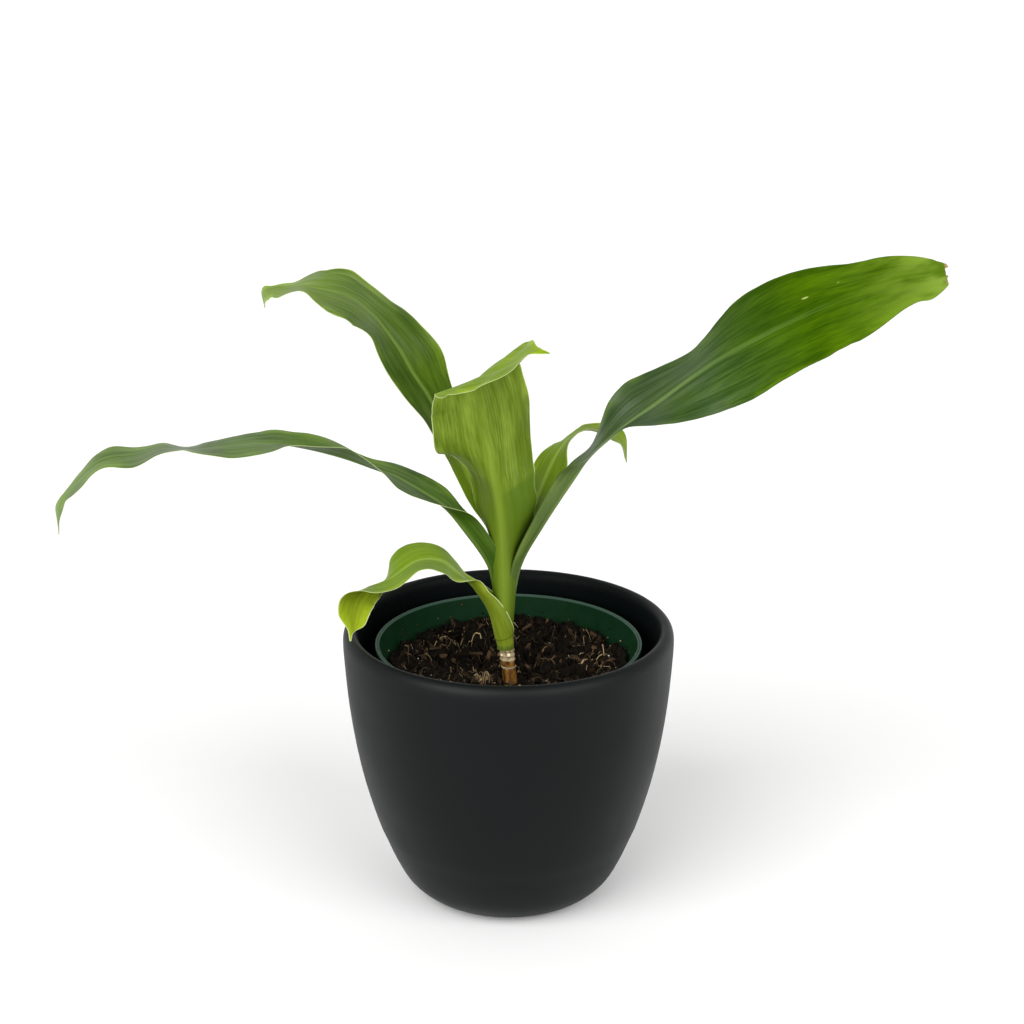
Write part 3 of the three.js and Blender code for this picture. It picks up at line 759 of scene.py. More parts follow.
# %% Stations of the six leaves
LOWER_LEFT = [
    [-4.5, -6.6, 120.7, 9.9, 0, 0, 165, 165], [-4.6, -6.6, 123.2, 10.1, 0, 0, 165, 165],
    [-5.6, -6.7, 126.8, 11.6, 0, 0, 160, 160], [-6.5, -6.8, 131, 11.6, 0, 0, 138, 138],
    [-7.9, -7, 137, 10.3, 0, 0, 115, 115], [-10.1, -7.2, 142.3, 9.2, 0, 0, 100, 100],
    [-13.2, -7.2, 147.4, 8.6, 5, -5, 75, 75], [-17.5, -8, 153.5, 8.5, 15, 0, 40, 40],
    [-23, -9, 159, 10, -10, -5, 10, 10], [-29, -10, 164, 13, -9, 2, 0, 0],
    [-36, -11, 165.5, 15, -3, 5, 0, 0], [-41.5, -12, 164.5, 16, 0, 7, 0, 0],
    [-46.5, -13, 161.5, 16, -2, 5, 0, 0], [-52, -14, 158, 15.5, 3, -2, 0, 0],
    [-58, -14.5, 155.5, 15, 20, -14, 0, 0], [-63, -14.5, 153.5, 13.5, 40, -20, 0, 0],
    [-66.5, -15, 150, 11.5, 62, -20, 0, 0], [-68.5, -16, 146, 9.5, 80, -14, 0, 0],
    [-69.5, -17, 142, 7.5, 86, -10, 0, 0], [-70, -18, 138.5, 4.8, 88, -8, 0, 0],
    [-70.5, -19, 135, 2, 88, -5, 0, 0], [-70.5, -20, 130, 0.4, 88, 0, 0, 0],
]
CENTRE = [
    [-1.3, -8.5, 121, 6.4, 0, 0, 145, 145], [-1.5, -8.7, 125, 6.9, 0, 0, 140, 140],
    [-1.6, -9.3, 131, 8.3, 0, 0, 135, 135], [-1.9, -10.4, 140, 9.9, 0, 0, 125, 125],
    [-2, -10.8, 150, 9.8, 0, 0, 110, 110], [-2.2, -11, 160, 9.1, 0, 3, 95, 95],
    [-3, -12, 172.5, 11.5, -8, 22, 60, 35], [-4, -13, 184.5, 15, -22, 25, 35, 15],
    [-5.5, -14, 195.5, 18, -25, 29, 22, 12], [-7, -15.5, 205, 19, -12, 29, 20, 15],
    [-7.5, -17, 215, 22, 7, 25, 10, 10], [-9.8, -19, 227.5, 24.5, 12, 0, 45, 10],
    [-12, -23, 242, 25.5, 15, 0, 30, 0], [-13.6, -28, 253, 25.5, 36, 8, -22, 0],
    [-9, -35, 258.5, 23, 42, 8, -22, 0], [-2.5, -41, 262.5, 18.5, 47, 6, -12, 0],
    [3, -46, 267, 13.5, 52, 2, 0, 0], [8, -51, 271.5, 8.5, 51, 0, 0, 0],
    [12.5, -54, 274, 3.5, 31, 0, 0, 0], [17, -57, 273.5, 0.6, 6, 0, 0, 0],
]
RIGHT = [
    [1.4, -5.5, 137, 2.8, 0, 0, 40, 40], [5.2, -5.5, 160, 6.5, -1, 15, 40, 40],
    [15, -7, 179.5, 8, -4, 25, 30, 30], [28.5, -9, 202, 9.5, -11, 35, 10, 10],
    [36.5, -10, 214, 11, -2, 10, 0, 0], [49.5, -12, 226.5, 14, 18, 28, 0, 0],
    [63, -14, 237.5, 18, 24, 7, 0, 0], [79.5, -16, 251.5, 21, 30, -15, 0, 0],
    [96.5, -18, 263.5, 24, 35, -11, 0, 0], [126, -21, 280, 23, 45, -2, 0, 0],
    [150.5, -23, 290.3, 18.5, 40, -6, 0, 0], [168.5, -25, 295.8, 13, 40, 3, 0, 0],
    [180, -26, 298.5, 9, 41, -2, 0, 0], [186.3, -26, 299.5, 5, 39, 4, 0, 0],
]
LEFT = [
    [-5.4, -6, 137.5, 2.8, 0, 0, 40, 40], [-7.5, -6.5, 155.5, 6.5, 0, 30, 50, 50],
    [-11, -7, 165, 8, 8, 47, 20, 20], [-20, -8, 178.5, 8.5, 16, 52, 10, 10],
    [-27.5, -8, 188, 9.5, -6, 34, 0, 0], [-37, -9, 195.5, 11, -13, 15, 0, 0],
    [-48.5, -9, 203, 11, -10, 5, 0, 0], [-60, -10, 208, 11, 5, 17, 0, 0],
    [-72, -10, 212.5, 11.5, 14, 21, 0, 0], [-85, -11, 216.5, 12, 3, 21, 0, 0],
    [-98, -11, 219, 12.5, 1, 13, 0, 0], [-109.5, -12, 220, 12.5, -6, 1, 0, 0],
    [-121, -12, 219, 12, -6, -2, 0, 0], [-132.5, -13, 218, 10.5, 2, 1, 0, 0],
    [-142, -13, 217.5, 9, 14, 1, 0, 0], [-152, -14, 218.5, 9, 2, -1, 0, 0],
    [-164.5, -14, 214.5, 9.5, -10, -1, 0, 0], [-178.5, -15, 212, 8, -12, 3, 0, 0],
    [-188, -15, 204.5, 6.5, -12, -2, 0, 0], [-194.5, -15, 197.5, 4.5, -17, 0, 0, 0],
    [-197.5, -16, 191.5, 4, -28, 0, 0, 0], [-198.6, -16, 179, 0.8, -10, 0, 0, 0],
]
REAR_RIGHT = [
    [-0.6, -3, 137.5, 2.8, 0, 0, 40, 40], [4.5, 1, 160.5, 5.5, 0, 20, 50, 50],
    [9.5, 6, 178, 8, 0, 20, 40, 40], [14.5, 12, 191, 10, -10, -10, 20, 20],
    [19.5, 18, 201, 11.5, -10, -4, 10, 10], [25, 23, 208.5, 10, -27, 4, 0, 0],
    [30, 28, 211.5, 9, -29, 0, 0, 0], [35.5, 34, 212, 9, -3, -2, 0, 0],
    [42, 40, 209.5, 9, 16, -3, 0, 0], [48.5, 46, 205.5, 8, 31, 2, 0, 0],
    [53, 50, 199.5, 6, 53, 5, 0, 0], [55, 53, 190, 0.8, 53, 0, 0, 0],
]
UPPER_LEFT = [
    [-3.7, -3, 137.5, 2.8, 0, 0, 40, 40], [-5.5, 0, 156.5, 6, 0, 20, 50, 50],
    [-8, 3, 171, 8, 0, 30, 30, 30], [-13.5, 8, 183.5, 9, -12, 20, 20, 20],
    [-20, 15, 196.5, 11, -15, 25, 10, 10], [-26.5, 22, 209, 13, 6, -2, 10, 10],
    [-32, 29, 220.5, 15, 3, 0, 10, 10], [-36.5, 34, 228, 16, -5, 1, 10, 10],
    [-43.5, 38, 237.5, 17, -10, 11, 0, 0], [-49.5, 42, 247, 17, -14, 16, 0, 0],
    [-57, 46, 256.5, 17, -4, 17, 0, 0], [-62.5, 49, 262.5, 16, -6, 4, 0, 0],
    [-69.5, 52, 267.5, 15.5, -11, 1, 0, 0], [-77.5, 55, 270, 14.5, -21, 8, 0, 0],
    [-86, 57, 271.5, 12, -22, 4, 0, 0], [-94, 59, 272, 10, -7, 4, 0, 0],
    [-101, 60, 271, 8, -11, 0, 0, 0], [-107.5, 61, 270, 6, -28, -2, 0, 0],
    [-111.5, 61, 267.5, 4, -51, 0, 0, 0], [-112, 61, 262, 0.8, -40, 0, 0, 0],
]
LONGEST = max(map(len, (LOWER_LEFT, CENTRE, RIGHT, LEFT, REAR_RIGHT, UPPER_LEFT)))
print("longest table has %d stations" % LONGEST)

# %% [markdown]
# A real margin isn't even. It has kinks, bays and torn places that a smooth
# run through the stations can't show. So each side of a leaf also has a short
# list of [station, millimetres] that says how far the margin stands outside
# the half width, or inside it. The list is read with straight lines between
# its places, and then their corners are rounded a little.

# %% Kinks in the margins
LOWER_LEFT_NEAR = [
    [14.5, 0], [16, -1], [17.5, -0.8], [18.5, 0], [19.3, 0], [20, -0.8], [21, 0],
]
LOWER_LEFT_FAR = [
    [9, 0], [11, 2.5], [13, 2.5], [14, 0.5], [14.5, -0.6], [15.5, -2.8], [16, -2.6], [16.5, -1.9],
    [17.5, -0.7], [18, 0], [19, 1.8], [19.6, 2.2], [20, 1.3], [20.3, -0.3], [21, 0],
]
CENTRE_LEFT = [
    [5.2, 0], [5.6, -2], [6.1, -3.9], [6.5, -3.7], [6.75, -1], [7, 2], [7.5, 5], [7.75, 5.5],
    [8, 4.7], [8.5, 1.9], [9, 0], [9.5, 3.5], [9.75, 2.8], [10, 2.4], [10.25, 1.4], [10.5, 0.3],
    [11, -1.3], [11.5, -2.6], [12, -3.3], [12.3, -3.9], [12.6, -4.4], [13, -6.2], [13.4, 0], [14.1, 2],
    [14.5, -1], [15, 1.5], [16, 0.3], [16.5, 2], [17, 3.5], [17.5, 0.5], [18, 0],
]
CENTRE_RIGHT = [
    [5.5, 0], [5.75, 1], [6, 4.2], [6.25, 4.8], [6.5, 3.4], [7, 1.9], [7.5, 1.8], [7.8, 1],
    [8, -0.4], [8.25, -0.1], [8.75, 1.7], [9, 1.8], [9.5, 1], [10, -0.1], [11.4, -0.6], [11.8, -2],
    [12.2, -3.5], [12.6, -3.5], [13, -4], [13.5, -4], [14, -2], [14.5, 0], [15, 3.5], [15.5, 4.5],
    [16, 2], [17, -1.2], [17.5, -1], [18.2, -2], [18.6, -1], [19, 0],
]
RIGHT_UPPER = [
    [4, 0], [4.7, -0.5], [5.2, 1.5], [5.7, 4], [6.1, 2.5], [7, -0.5], [7.8, 0.3], [8.25, 4],
    [8.6, 2], [9, -0.3], [10.05, -0.7], [10.5, 0.4],
    [11.5, 0.4], [12.2, 0.2], [12.4, -0.8], [12.6, 0.5], [12.8, -0.6], [13, 0.6],
]
RIGHT_LOWER = [
    [4.6, 0], [5, -9], [5.3, -7], [5.6, -4.3], [6, -2], [6.4, 0], [7, 0.6], [8, 1.7], [8.5, 0],
    [8.75, -0.7], [9.3, 1.1], [9.36, -1.2], [9.46, -1.2], [9.52, 1.1], [10, 1.1], [10.75, 0],
    [11.3, -0.4], [11.6, 1.5], [12, 0.5], [13, -0.5],
]
LEFT_NEAR = [
    [3.75, 0], [4.75, -1.5], [5.5, 1.4], [6.8, 1.5], [8, 2.8], [10.3, 4.5], [10.7, 2], [12.6, 0.9],
    [13.1, 0], [14.2, 2.4], [14.8, 2], [15.4, 3.5], [16.1, 0.3], [16.7, -2.2], [17.3, -0.5],
    [17.9, 2.5], [18.6, 2.3], [19.3, -0.5], [20, 0], [20.5, -1], [21, -0.3],
]
LEFT_FAR = [
    [3, 0], [3.7, -2.3], [4.4, -0.2], [6.1, 0], [6.7, -2.5], [7.2, -3.9], [7.6, -2.8], [8.25, 1.9],
    [8.6, 0.7], [9.7, -1], [10.3, 0.4], [11.2, -1], [12.4, -2], [13, -1.4], [14, 3], [14.4, 0.5],
    [15.5, -2.7], [16, -0.3], [16.6, 3.6], [17, 0.7], [18.1, -0.3], [18.5, -2.6], [19.8, -1.5],
    [20.2, 1], [21, -0.3],
]
REAR_LEFT = [[6, 0], [6.5, -4], [7, -4], [7.5, -1.7], [8.5, -1.1], [9.3, 0.8], [10, 1.5], [10.6, 1], [11, 0]]
REAR_NEAR = [[4, 0], [4.5, -2], [5, -4], [5.5, -2], [6, 0], [9, 0], [9.6, 1.5], [10.4, 1.2], [11, 0]]
UPPER_NEAR = [
    [2.5, 0], [4, -0.5], [4.5, -2.3], [5, -3], [5.5, -1.5], [6.3, 1.7], [7.1, 0], [8.9, 0.3],
    [9.8, 0.8], [10.2, 4.5], [10.6, 3], [11.1, 0], [11.5, -0.5], [12.2, 1.4], [12.75, 1.5],
    [13.4, 0], [14.5, -5], [14.9, -4.5], [15.4, -0.6], [16, -0.3], [16.3, 1.5], [17.3, -1.2],
    [18, 1.3], [19, 0],
]
UPPER_FAR = [
    [7, 0], [7.8, 2.7], [8.5, 1.9], [9.2, -0.5], [12.5, 0], [13, 1.2], [14.2, 1.6], [14.75, 5.5],
    [15.1, 4.5], [15.7, 0], [16.8, -2], [17.3, -1], [17.7, 2], [18.2, 1], [19, 0],
]
print("the centre leaf's left margin has %d kinks" % len(CENTRE_LEFT))


# %% Read a margin's list
CORNER_STEPS = (-0.18, -0.12, -0.06, 0, 0.06, 0.12, 0.18)


def read_off(line, t):
    """The value at t on straight lines through [t, value] rows; the ends run on level."""
    if t <= line[0][0]:
        return line[0][1]
    for (start, low), (end, high) in zip(line, line[1:]):
        if t <= end:
            return low + (high - low) * (t - start) / (end - start)
    return line[-1][1]


def kink_at(line, t):
    """The same with its corners rounded: the mean over a short stretch round t."""
    return sum(read_off(line, t + step) for step in CORNER_STEPS) / len(CORNER_STEPS)


print("at station 8.25 the right leaf's upper margin stands out %.1f mm" % kink_at(RIGHT_UPPER, 8.25))

# %% [markdown]
# A leaf starts as a flat grid, with one side of the grid across the blade and
# the other along it. Every point is then carried to its place by the stations.
# A point also keeps where it lies on the blade, because veins, midrib and
# margin are drawn by that and not by its place in the room. Each half of the
# blade is an arc, so its sine and cosine say how far out and up a point lies;
# a flat half counts as a very slightly curled one.

# %% Where a point of the blade goes
NO_CURL = 1e-3


def blade_frame(stations, azimuth, t):
    """Midrib point, across, above and the row of numbers at t."""
    row = between(stations, t)
    ahead = between(stations, min(t + 0.01, len(stations) - 1))
    behind = between(stations, max(t - 0.01, 0))
    along = (Vector(ahead[:3]) - Vector(behind[:3])).normalized()
    side = Vector((-math.sin(azimuth), math.cos(azimuth), 0))
    side = (side - along * side.dot(along)).normalized()
    normal = along.cross(side)
    roll = math.radians(row[4])
    across = side * math.cos(roll) + normal * math.sin(roll)
    above = normal * math.cos(roll) - side * math.sin(roll)
    return Vector(row[:3]), across, above, row


def blade_point(station, share, wide, ripple):
    """The point at share of a side, from -1 at the left margin to 1 at the right."""
    middle, across, above, row = station
    fold = math.radians(row[5])
    curl = math.radians(row[6] if share < 0 else row[7])
    curl = curl if abs(curl) > NO_CURL else NO_CURL
    bent = fold + curl * abs(share)
    out = (math.sin(bent) - math.sin(fold)) / curl
    lift = (math.cos(fold) - math.cos(bent)) / curl
    sign = 1 if share < 0 else -1
    return middle + across * (sign * wide * out) + above * (wide * lift + ripple)


top_of_left = blade_frame(LEFT, math.radians(183), 11)[0]
print("the left leaf arches up to %.0f mm above the table" % top_of_left.z)

# %% [markdown]
# Real margins aren't ruled lines, so a slow noise lifts and drops them by a
# fraction of a millimetre, more towards the edge. The midrib sinks a little
# on the upper face. A torn tip falls back unevenly over its last few rows.
# Each point keeps two records for the finish: an attribute called lie, with
# its share of the side, its share of the length and its distance from the
# margin, and a UV map in centimetres.

# %% Shape the upper face
BLADE_ROWS = 240
RIPPLE = 0.4
RIB_DIP = 0.25
RIB_REACH = 1.1
TORN_ROWS = 5


def blade_sheet(bm, stations, azimuth, margins, strips, torn, seed):
    """Lays a flat grid along the stations; gives each point's numbers, and the length."""
    sheet = bm.loops.layers.uv.new("blade")
    lie = bm.verts.layers.float_vector.new("lie")
    bmesh.ops.create_grid(bm, x_segments=strips, y_segments=BLADE_ROWS, size=1)
    last = len(stations) - 1
    run, measured = [], 0.0
    for k in range(BLADE_ROWS + 1):
        station = blade_frame(stations, azimuth, last * k / BLADE_ROWS)
        if k:
            measured += (station[0] - run[-1][0][0]).length
        run.append((station, measured))
    spots = {}
    for point in bm.verts:
        k = round((point.co.y + 1) / 2 * BLADE_ROWS)
        share = point.co.x
        station, distance = run[k]
        kink = kink_at(margins[share >= 0], last * k / BLADE_ROWS)
        wide = max(0.1, station[3][3] + kink)
        wander = noise.noise(Vector((distance * 0.055, 4 * (share > 0) + seed, 1.7)))
        flutter = noise.noise(Vector((distance * 0.16, 4 * (share > 0) + seed, 7.1)))
        grown = min(1.0, distance / 40)
        ripple = RIPPLE * (wander + 0.35 * flutter) * abs(share) ** 3 * min(wide / 10, 1.5) * grown
        rib = math.exp(-((share * wide / RIB_REACH) ** 2))
        spots[point] = (wide, distance, share, rib)
        point.co = blade_point(station, share, wide, ripple - RIB_DIP * rib) * MM
        if torn and k > BLADE_ROWS - TORN_ROWS:
            ahead = station[1].cross(station[2])
            tooth = 0.5 + noise.noise(Vector((share * 4.5, seed, 2.3)))
            point.co -= ahead * torn * tooth * (k - BLADE_ROWS + TORN_ROWS) / TORN_ROWS * MM
        point[lie] = (share, k / BLADE_ROWS, (1 - abs(share)) * wide)
    for face in bm.faces:
        face.smooth = True
        for corner in face.loops:
            wide, distance, share, rib = spots[corner.vert]
            corner[sheet].uv = (share * wide / 10, distance / 10)
    return spots, measured


# %% [markdown]
# The blade then gets its thickness. A Solidify modifier gives the same
# thickness everywhere, but a leaf is thicker along its midrib and thins
# towards the margin. So the sheet moves up by half of the local thickness and
# a copy of it moves down by as much. Bridging the two edges leaves a narrow
# rim. The upper face, the underside and the rim have a finish each.

# %% Grow a leaf
BLADE_THICK = 0.34
RIB_THICK = 0.5


def grow_leaf(name, stations, azimuth, margins, finishes, node, seed, strips=26, torn=0.0):
    """One leaf. margins are the kinks at its left and right; torn is the depth of a torn tip."""
    bm = bmesh.new()
    spots, measured = blade_sheet(bm, stations, math.radians(azimuth), margins, strips, torn, seed)
    bm.normal_update()
    edge = [e for e in bm.edges if e.is_boundary]
    copied = bmesh.ops.duplicate(bm, geom=bm.verts[:] + bm.edges[:] + bm.faces[:])
    back = copied["vert_map"]
    for point, (wide, distance, share, rib) in spots.items():
        thin = 1 - 0.5 * abs(share) ** 4
        thick = BLADE_THICK * thin + RIB_THICK * rib * max(0.25, 1 - distance / 180) * min(1, wide / 6)
        half = point.normal * 0.5 * thick * MM
        back[point].co = point.co - half
        point.co += half
    under = [g for g in copied["geom"] if isinstance(g, bmesh.types.BMFace)]
    back_edge = [g for g in copied["geom"] if isinstance(g, bmesh.types.BMEdge) and g.is_boundary]
    bmesh.ops.reverse_faces(bm, faces=under)
    for face in under:
        face.material_index = 1
    rim_faces = bmesh.ops.bridge_loops(bm, edges=edge + back_edge)["faces"]
    for face in rim_faces:
        face.material_index = 2
        face.smooth = False
    for border in edge + back_edge:
        border.smooth = False
    keep(name, bm, finishes, node)
    print("  %.0f mm long, %.0f mm wide" % (measured, 2 * max(row[3] for row in stations)))


# %% [markdown]
# ## Leaf finishes
# The upper face of a grown leaf is deep green under a thin grey wax, which
# shows as a soft sheen where the blade lies flat. Young leaves are yellow
# green and undersides are nearly matte. A photograph could be laid on each
# leaf, but noises that are drawn out along the blade give the same lengthwise
# veins and mottle at any size. One recipe makes all the leaf finishes from a
# few colours, and starts from where a point lies on its blade.


# %% Where a finish is on the blade
class LeafRecipe(Recipe):
    """A recipe that knows how far across and along the blade it is."""

    def __init__(self, name, roughness, specular):
        super().__init__(name, roughness, specular)
        lie = self.node("Attribute", {}, attribute_name="lie").outputs["Vector"]
        self.share, self.along, self.from_edge = self.node("SeparateXYZ", {0: lie}).outputs
        sheet = self.node("UVMap", {}, uv_map="blade").outputs[0]
        self.across_cm, self.along_cm, _ = self.node("SeparateXYZ", {0: sheet}).outputs

    def drawn_out(self, across, often, slowly):
        """A place for noise: often from side to side, slowly along the blade."""
        return self.flat(self.times(across, often), self.times(self.along_cm, slowly))


# %% [markdown]
# Four noises mix the deep and the light green: fine veins, broad bands, blotches
# and streaks. Blotches are also moved by the place in the room, so that no two
# leaves have the same. A leaf can be darker near its base, lighter towards its
# end, and lighter in places along its margin.


# %% Veins, bands and blotches
def mottle(leaf, lift, contrast, near, near_end, far):
    """The share of light green, and the noises that the rest of the finish uses again."""
    veins = leaf.grain(leaf.drawn_out(leaf.share, 34, 0.12), 1.3, 2, 0.6)
    bands = leaf.grain(leaf.drawn_out(leaf.share, 5, 0.14), 1.2, 2)
    on_blade = leaf.drawn_out(leaf.across_cm, 0.75, 0.28)
    blotch_at = leaf.node("VectorMath", {0: on_blade, 1: leaf.place((6, 6, 6))}).outputs[0]
    blotch = leaf.grain(blotch_at, 1.3, 3, 0.55)
    streak = leaf.grain(leaf.drawn_out(leaf.across_cm, 6, 0.5), 1.6, 2)
    tone = lift
    for noise_value, weight in ((veins, 0.45), (bands, 0.4), (blotch, 0.65), (streak, 0.45)):
        tone = leaf.plus(tone, leaf.times(leaf.less(noise_value, 0.5), weight * contrast))
    tone = leaf.plus(tone, leaf.reach(leaf.along, 0.14, near_end, near, 0.0))
    tone = leaf.plus(tone, leaf.reach(leaf.along, 0.45, 1.0, 0.0, far))
    near_edge = leaf.reach(leaf.from_edge, 6.0, 0.0, 0.0, 0.4 * contrast)
    tone = leaf.plus(tone, leaf.times(near_edge, leaf.reach(blotch, 0.4, 0.65)))
    return tone, veins, bands, blotch


# %% [markdown]
# Marks come last, one over the other. The grown right leaf has blotches of fading and painted sheen near its
# torn end, which is dry and brown, and it has two short scratches. The lowest leaf's sheath has a thin dark
# ring low down. The centre leaf's underside has a painted shadow low on one side, under its fold. Each mark
# is a share from 0 to 1 that comes from distances on the blade. A scratch's two distances are scaled
# differently, so that the round spot they give is drawn out along the leaf.

# %% Marks on a leaf
FADE_AND_SHEEN_GREEN = shade(0.225, 0.315, 0.050)
DRY_BROWN = shade(0.30, 0.20, 0.09)
DRY_SCRATCH = shade(0.36, 0.42, 0.13)
DARK_FOOT = shade(0.035, 0.060, 0.006)
DARK_RING = shade(0.045, 0.070, 0.008)
FOLD_SHADOW_GREEN = shade(0.055, 0.105, 0.004)
SCRATCH_ACROSS, SCRATCH_ALONG = 24, 110


def dry_end(leaf, colour, blotch):
    """Blotches of fading and painted sheen, a paler green, on the last third, and a brown rim at the torn
    tip.
    """
    # painted sheen: these blotches are partly real fading, partly painted sheen
    fade_and_sheen = leaf.times(leaf.reach(leaf.along, 0.70, 1.0, 0.0, 0.6), leaf.reach(blotch, 0.36, 0.6, 0.15, 1.0))
    colour = leaf.blend(fade_and_sheen, colour, FADE_AND_SHEEN_GREEN)
    brown_at = leaf.plus(leaf.along, leaf.times(leaf.less(blotch, 0.5), 0.03))
    return leaf.blend(leaf.reach(brown_at, 0.972, 0.988, 0.0, 0.85), colour, DRY_BROWN)


def scratch(leaf, colour, share_at, along_at, size):
    """A pale fleck at a place on the blade, size millimetres to each side and longer than wide."""
    aside = leaf.times(leaf.plus(leaf.share, -share_at), SCRATCH_ACROSS)
    ahead = leaf.times(leaf.plus(leaf.along, -along_at), SCRATCH_ALONG)
    off_scratch = leaf.length(leaf.flat(aside, ahead))
    return leaf.blend(leaf.reach(off_scratch, size, 0.5 * size, 0.0, 0.8), colour, DRY_SCRATCH)


def dark_ring(leaf, colour, ring):
    """A thin ring round the sheath; ring is how far along the leaf it lies."""
    ring_line = leaf.plus(leaf.along, leaf.times(leaf.share, 0.012))
    off_ring = leaf.sums("ABSOLUTE", leaf.less(ring_line, ring))
    return leaf.blend(leaf.reach(off_ring, 0.007, 0.002, 0.0, 0.6), colour, DARK_RING)


def painted_fold_shadow(leaf, colour):
    """A painted shadow under the fold: a darker patch on the left half, below the slanted line where it
    ends.
    """
    slanted = leaf.plus(leaf.along, leaf.times(leaf.share, 0.035))
    below = leaf.times(leaf.reach(leaf.along, 0.31, 0.40), leaf.reach(slanted, 0.428, 0.412))
    below = leaf.times(below, leaf.reach(leaf.share, -0.05, -0.45, 0.0, 0.75))
    return leaf.blend(below, colour, FOLD_SHADOW_GREEN)


# %% [markdown]
# The whole finish: mottle, midrib, margin and dark foot, then the marks that
# this leaf has. Fine relief follows the veins. The wax is a gloss that can
# change from sheen[0] near the base to sheen[1] towards the end, and it is
# stronger on some veins than on others.


# %% Leaf finish
def leaf_finish(
    name, deep, light, rib, hem, roughness=0.42, sheen=(0.15, 0.15), contrast=1.0, rib_width=1.0,
    lift=0.3, near=0.0, near_end=0.45, far=0.35, dry=False, fold_shadow=False, scratches=(), ring=0.0,
):
    """The finish of one kind of face. lift, near and far are shares of light green that are added."""
    leaf = LeafRecipe(name, roughness, sheen[0])
    tone, veins, bands, blotch = mottle(leaf, lift, contrast, near, near_end, far)
    colour = leaf.blend(leaf.reach(tone, 0.0, 1.0), deep, light)
    off_rib = leaf.sums("ABSOLUTE", leaf.across_cm)
    rib_line = leaf.reach(off_rib, 0.20 * rib_width, 0.02 * rib_width)
    rib_line = leaf.times(rib_line, leaf.reach(leaf.along, 0.78, 0.45, 0.0, 0.6))
    colour = leaf.blend(rib_line, colour, rib)
    colour = leaf.blend(leaf.reach(leaf.from_edge, 0.5, 0.25, 0.0, 0.7), colour, hem)
    colour = leaf.blend(leaf.reach(leaf.along, 0.052, 0.026, 0.0, 0.65), colour, DARK_FOOT)
    if ring:
        colour = dark_ring(leaf, colour, ring)
    if fold_shadow:
        colour = painted_fold_shadow(leaf, colour)
    if dry:
        colour = dry_end(leaf, colour, blotch)
    for share_at, along_at, size in scratches:
        colour = scratch(leaf, colour, share_at, along_at, size)
    leaf.dent(veins, 0.0003, 0.4)
    wax = leaf.reach(leaf.plus(veins, bands), 0.8, 1.2, 0.45, 1.5)
    leaf.gloss(leaf.times(leaf.reach(leaf.along, 0.4, 0.7, sheen[0], sheen[1]), wax))
    return leaf.paint(colour, leaf.reach(veins, 0.3, 0.7, roughness - 0.06, roughness + 0.08))


# %% [markdown]
# Each kind of face gets its own colours: deep green, light green, midrib and margin. Young leaves and the
# back leaf have a pale margin; grown ones have a dark one, a painted shade for their thin shadowed edge.

# %% Finishes of the upper faces
# painted shade: the dark hem along the grown leaves' edges
SHADOWED_HEM = shade(0.06, 0.10, 0.015)
PALE_HEM = shade(0.52, 0.60, 0.28)
LEAF_DEEP = shade(0.014, 0.042, 0.001)
right_upper = leaf_finish(
    "right_leaf_upper", LEAF_DEEP, shade(0.078, 0.155, 0.002), shade(0.15, 0.24, 0.06), SHADOWED_HEM,
    sheen=(0.6, 0.0), lift=0.2, far=0.45, dry=True, scratches=((-0.35, 0.70, 0.55), (-0.5, 0.742, 0.22)),
)
left_upper = leaf_finish(
    "left_leaf_upper", shade(0.020, 0.056, 0.003), shade(0.120, 0.210, 0.012), shade(0.13, 0.21, 0.04),
    SHADOWED_HEM, sheen=(0.4, 0.8), lift=0.4, near=-0.2, near_end=0.4, far=0.12,
)
# painted light: near=1.0 lightens the back leaf's base over the shade inside its channel
back_upper = leaf_finish(
    "back_leaf_upper", LEAF_DEEP, shade(0.210, 0.330, 0.015), shade(0.15, 0.24, 0.04), PALE_HEM,
    sheen=(0.05, 0.85), contrast=0.5, lift=0.24, near=1.0, near_end=0.3,
)
young_upper = leaf_finish(
    "young_leaf_upper", shade(0.090, 0.170, 0.001), shade(0.290, 0.410, 0.012), shade(0.30, 0.42, 0.06),
    PALE_HEM, sheen=(0.1, 0.05), contrast=0.8, near=-0.1, far=0.15,
)
print("4 kinds of upper face")

# %% [markdown]
# The undersides are paler and duller than the upper faces, with less contrast.
# The narrow rim between the two is nearly white on a young leaf, where the
# light comes through it, so it has a finish of its own.

# %% Finishes of the undersides and the rim
grown_under = leaf_finish(
    "grown_leaf_under", shade(0.018, 0.050, 0.002), shade(0.090, 0.160, 0.010), shade(0.12, 0.19, 0.03),
    SHADOWED_HEM, roughness=0.5, sheen=(0.12, 0.1), contrast=0.6, near=-0.05,
)
right_under = leaf_finish(
    "right_leaf_under", shade(0.045, 0.085, 0.012), shade(0.150, 0.215, 0.040), shade(0.16, 0.23, 0.05),
    SHADOWED_HEM, roughness=0.45, sheen=(0.3, 0.1), contrast=0.6,
)
young_under = leaf_finish(
    "young_leaf_under", shade(0.115, 0.160, 0.006), shade(0.300, 0.385, 0.014), shade(0.17, 0.25, 0.035),
    PALE_HEM, roughness=0.5, sheen=(0.34, 0.03), contrast=0.8, near=-0.05, far=0.0, ring=0.076,
)
# The centre leaf's underside carries a painted shadow under its fold.
centre_under = leaf_finish(
    "centre_leaf_under", shade(0.080, 0.130, 0.006), shade(0.310, 0.435, 0.048), shade(0.155, 0.23, 0.02),
    PALE_HEM, roughness=0.5, sheen=(0.12, 0.1), rib_width=2.0, near=-0.7, near_end=0.6, far=-0.05,
    fold_shadow=True,
)
margin = Recipe("leaf_margin", roughness=0.6, specular=0.2)
margin_tone = margin.grain(margin.place(), 260, 2)
margin.paint(margin.blend(margin_tone, shade(0.22, 0.30, 0.08), shade(0.50, 0.56, 0.26)))
print("4 kinds of underside and a pale rim")

# %% [markdown]
# The azimuth says which way a leaf grows from the shoot, seen from above: 0 is
# to the viewer's right and -90 is towards the viewer. Left and right margins
# are those of someone who stands at the base and looks along the leaf.

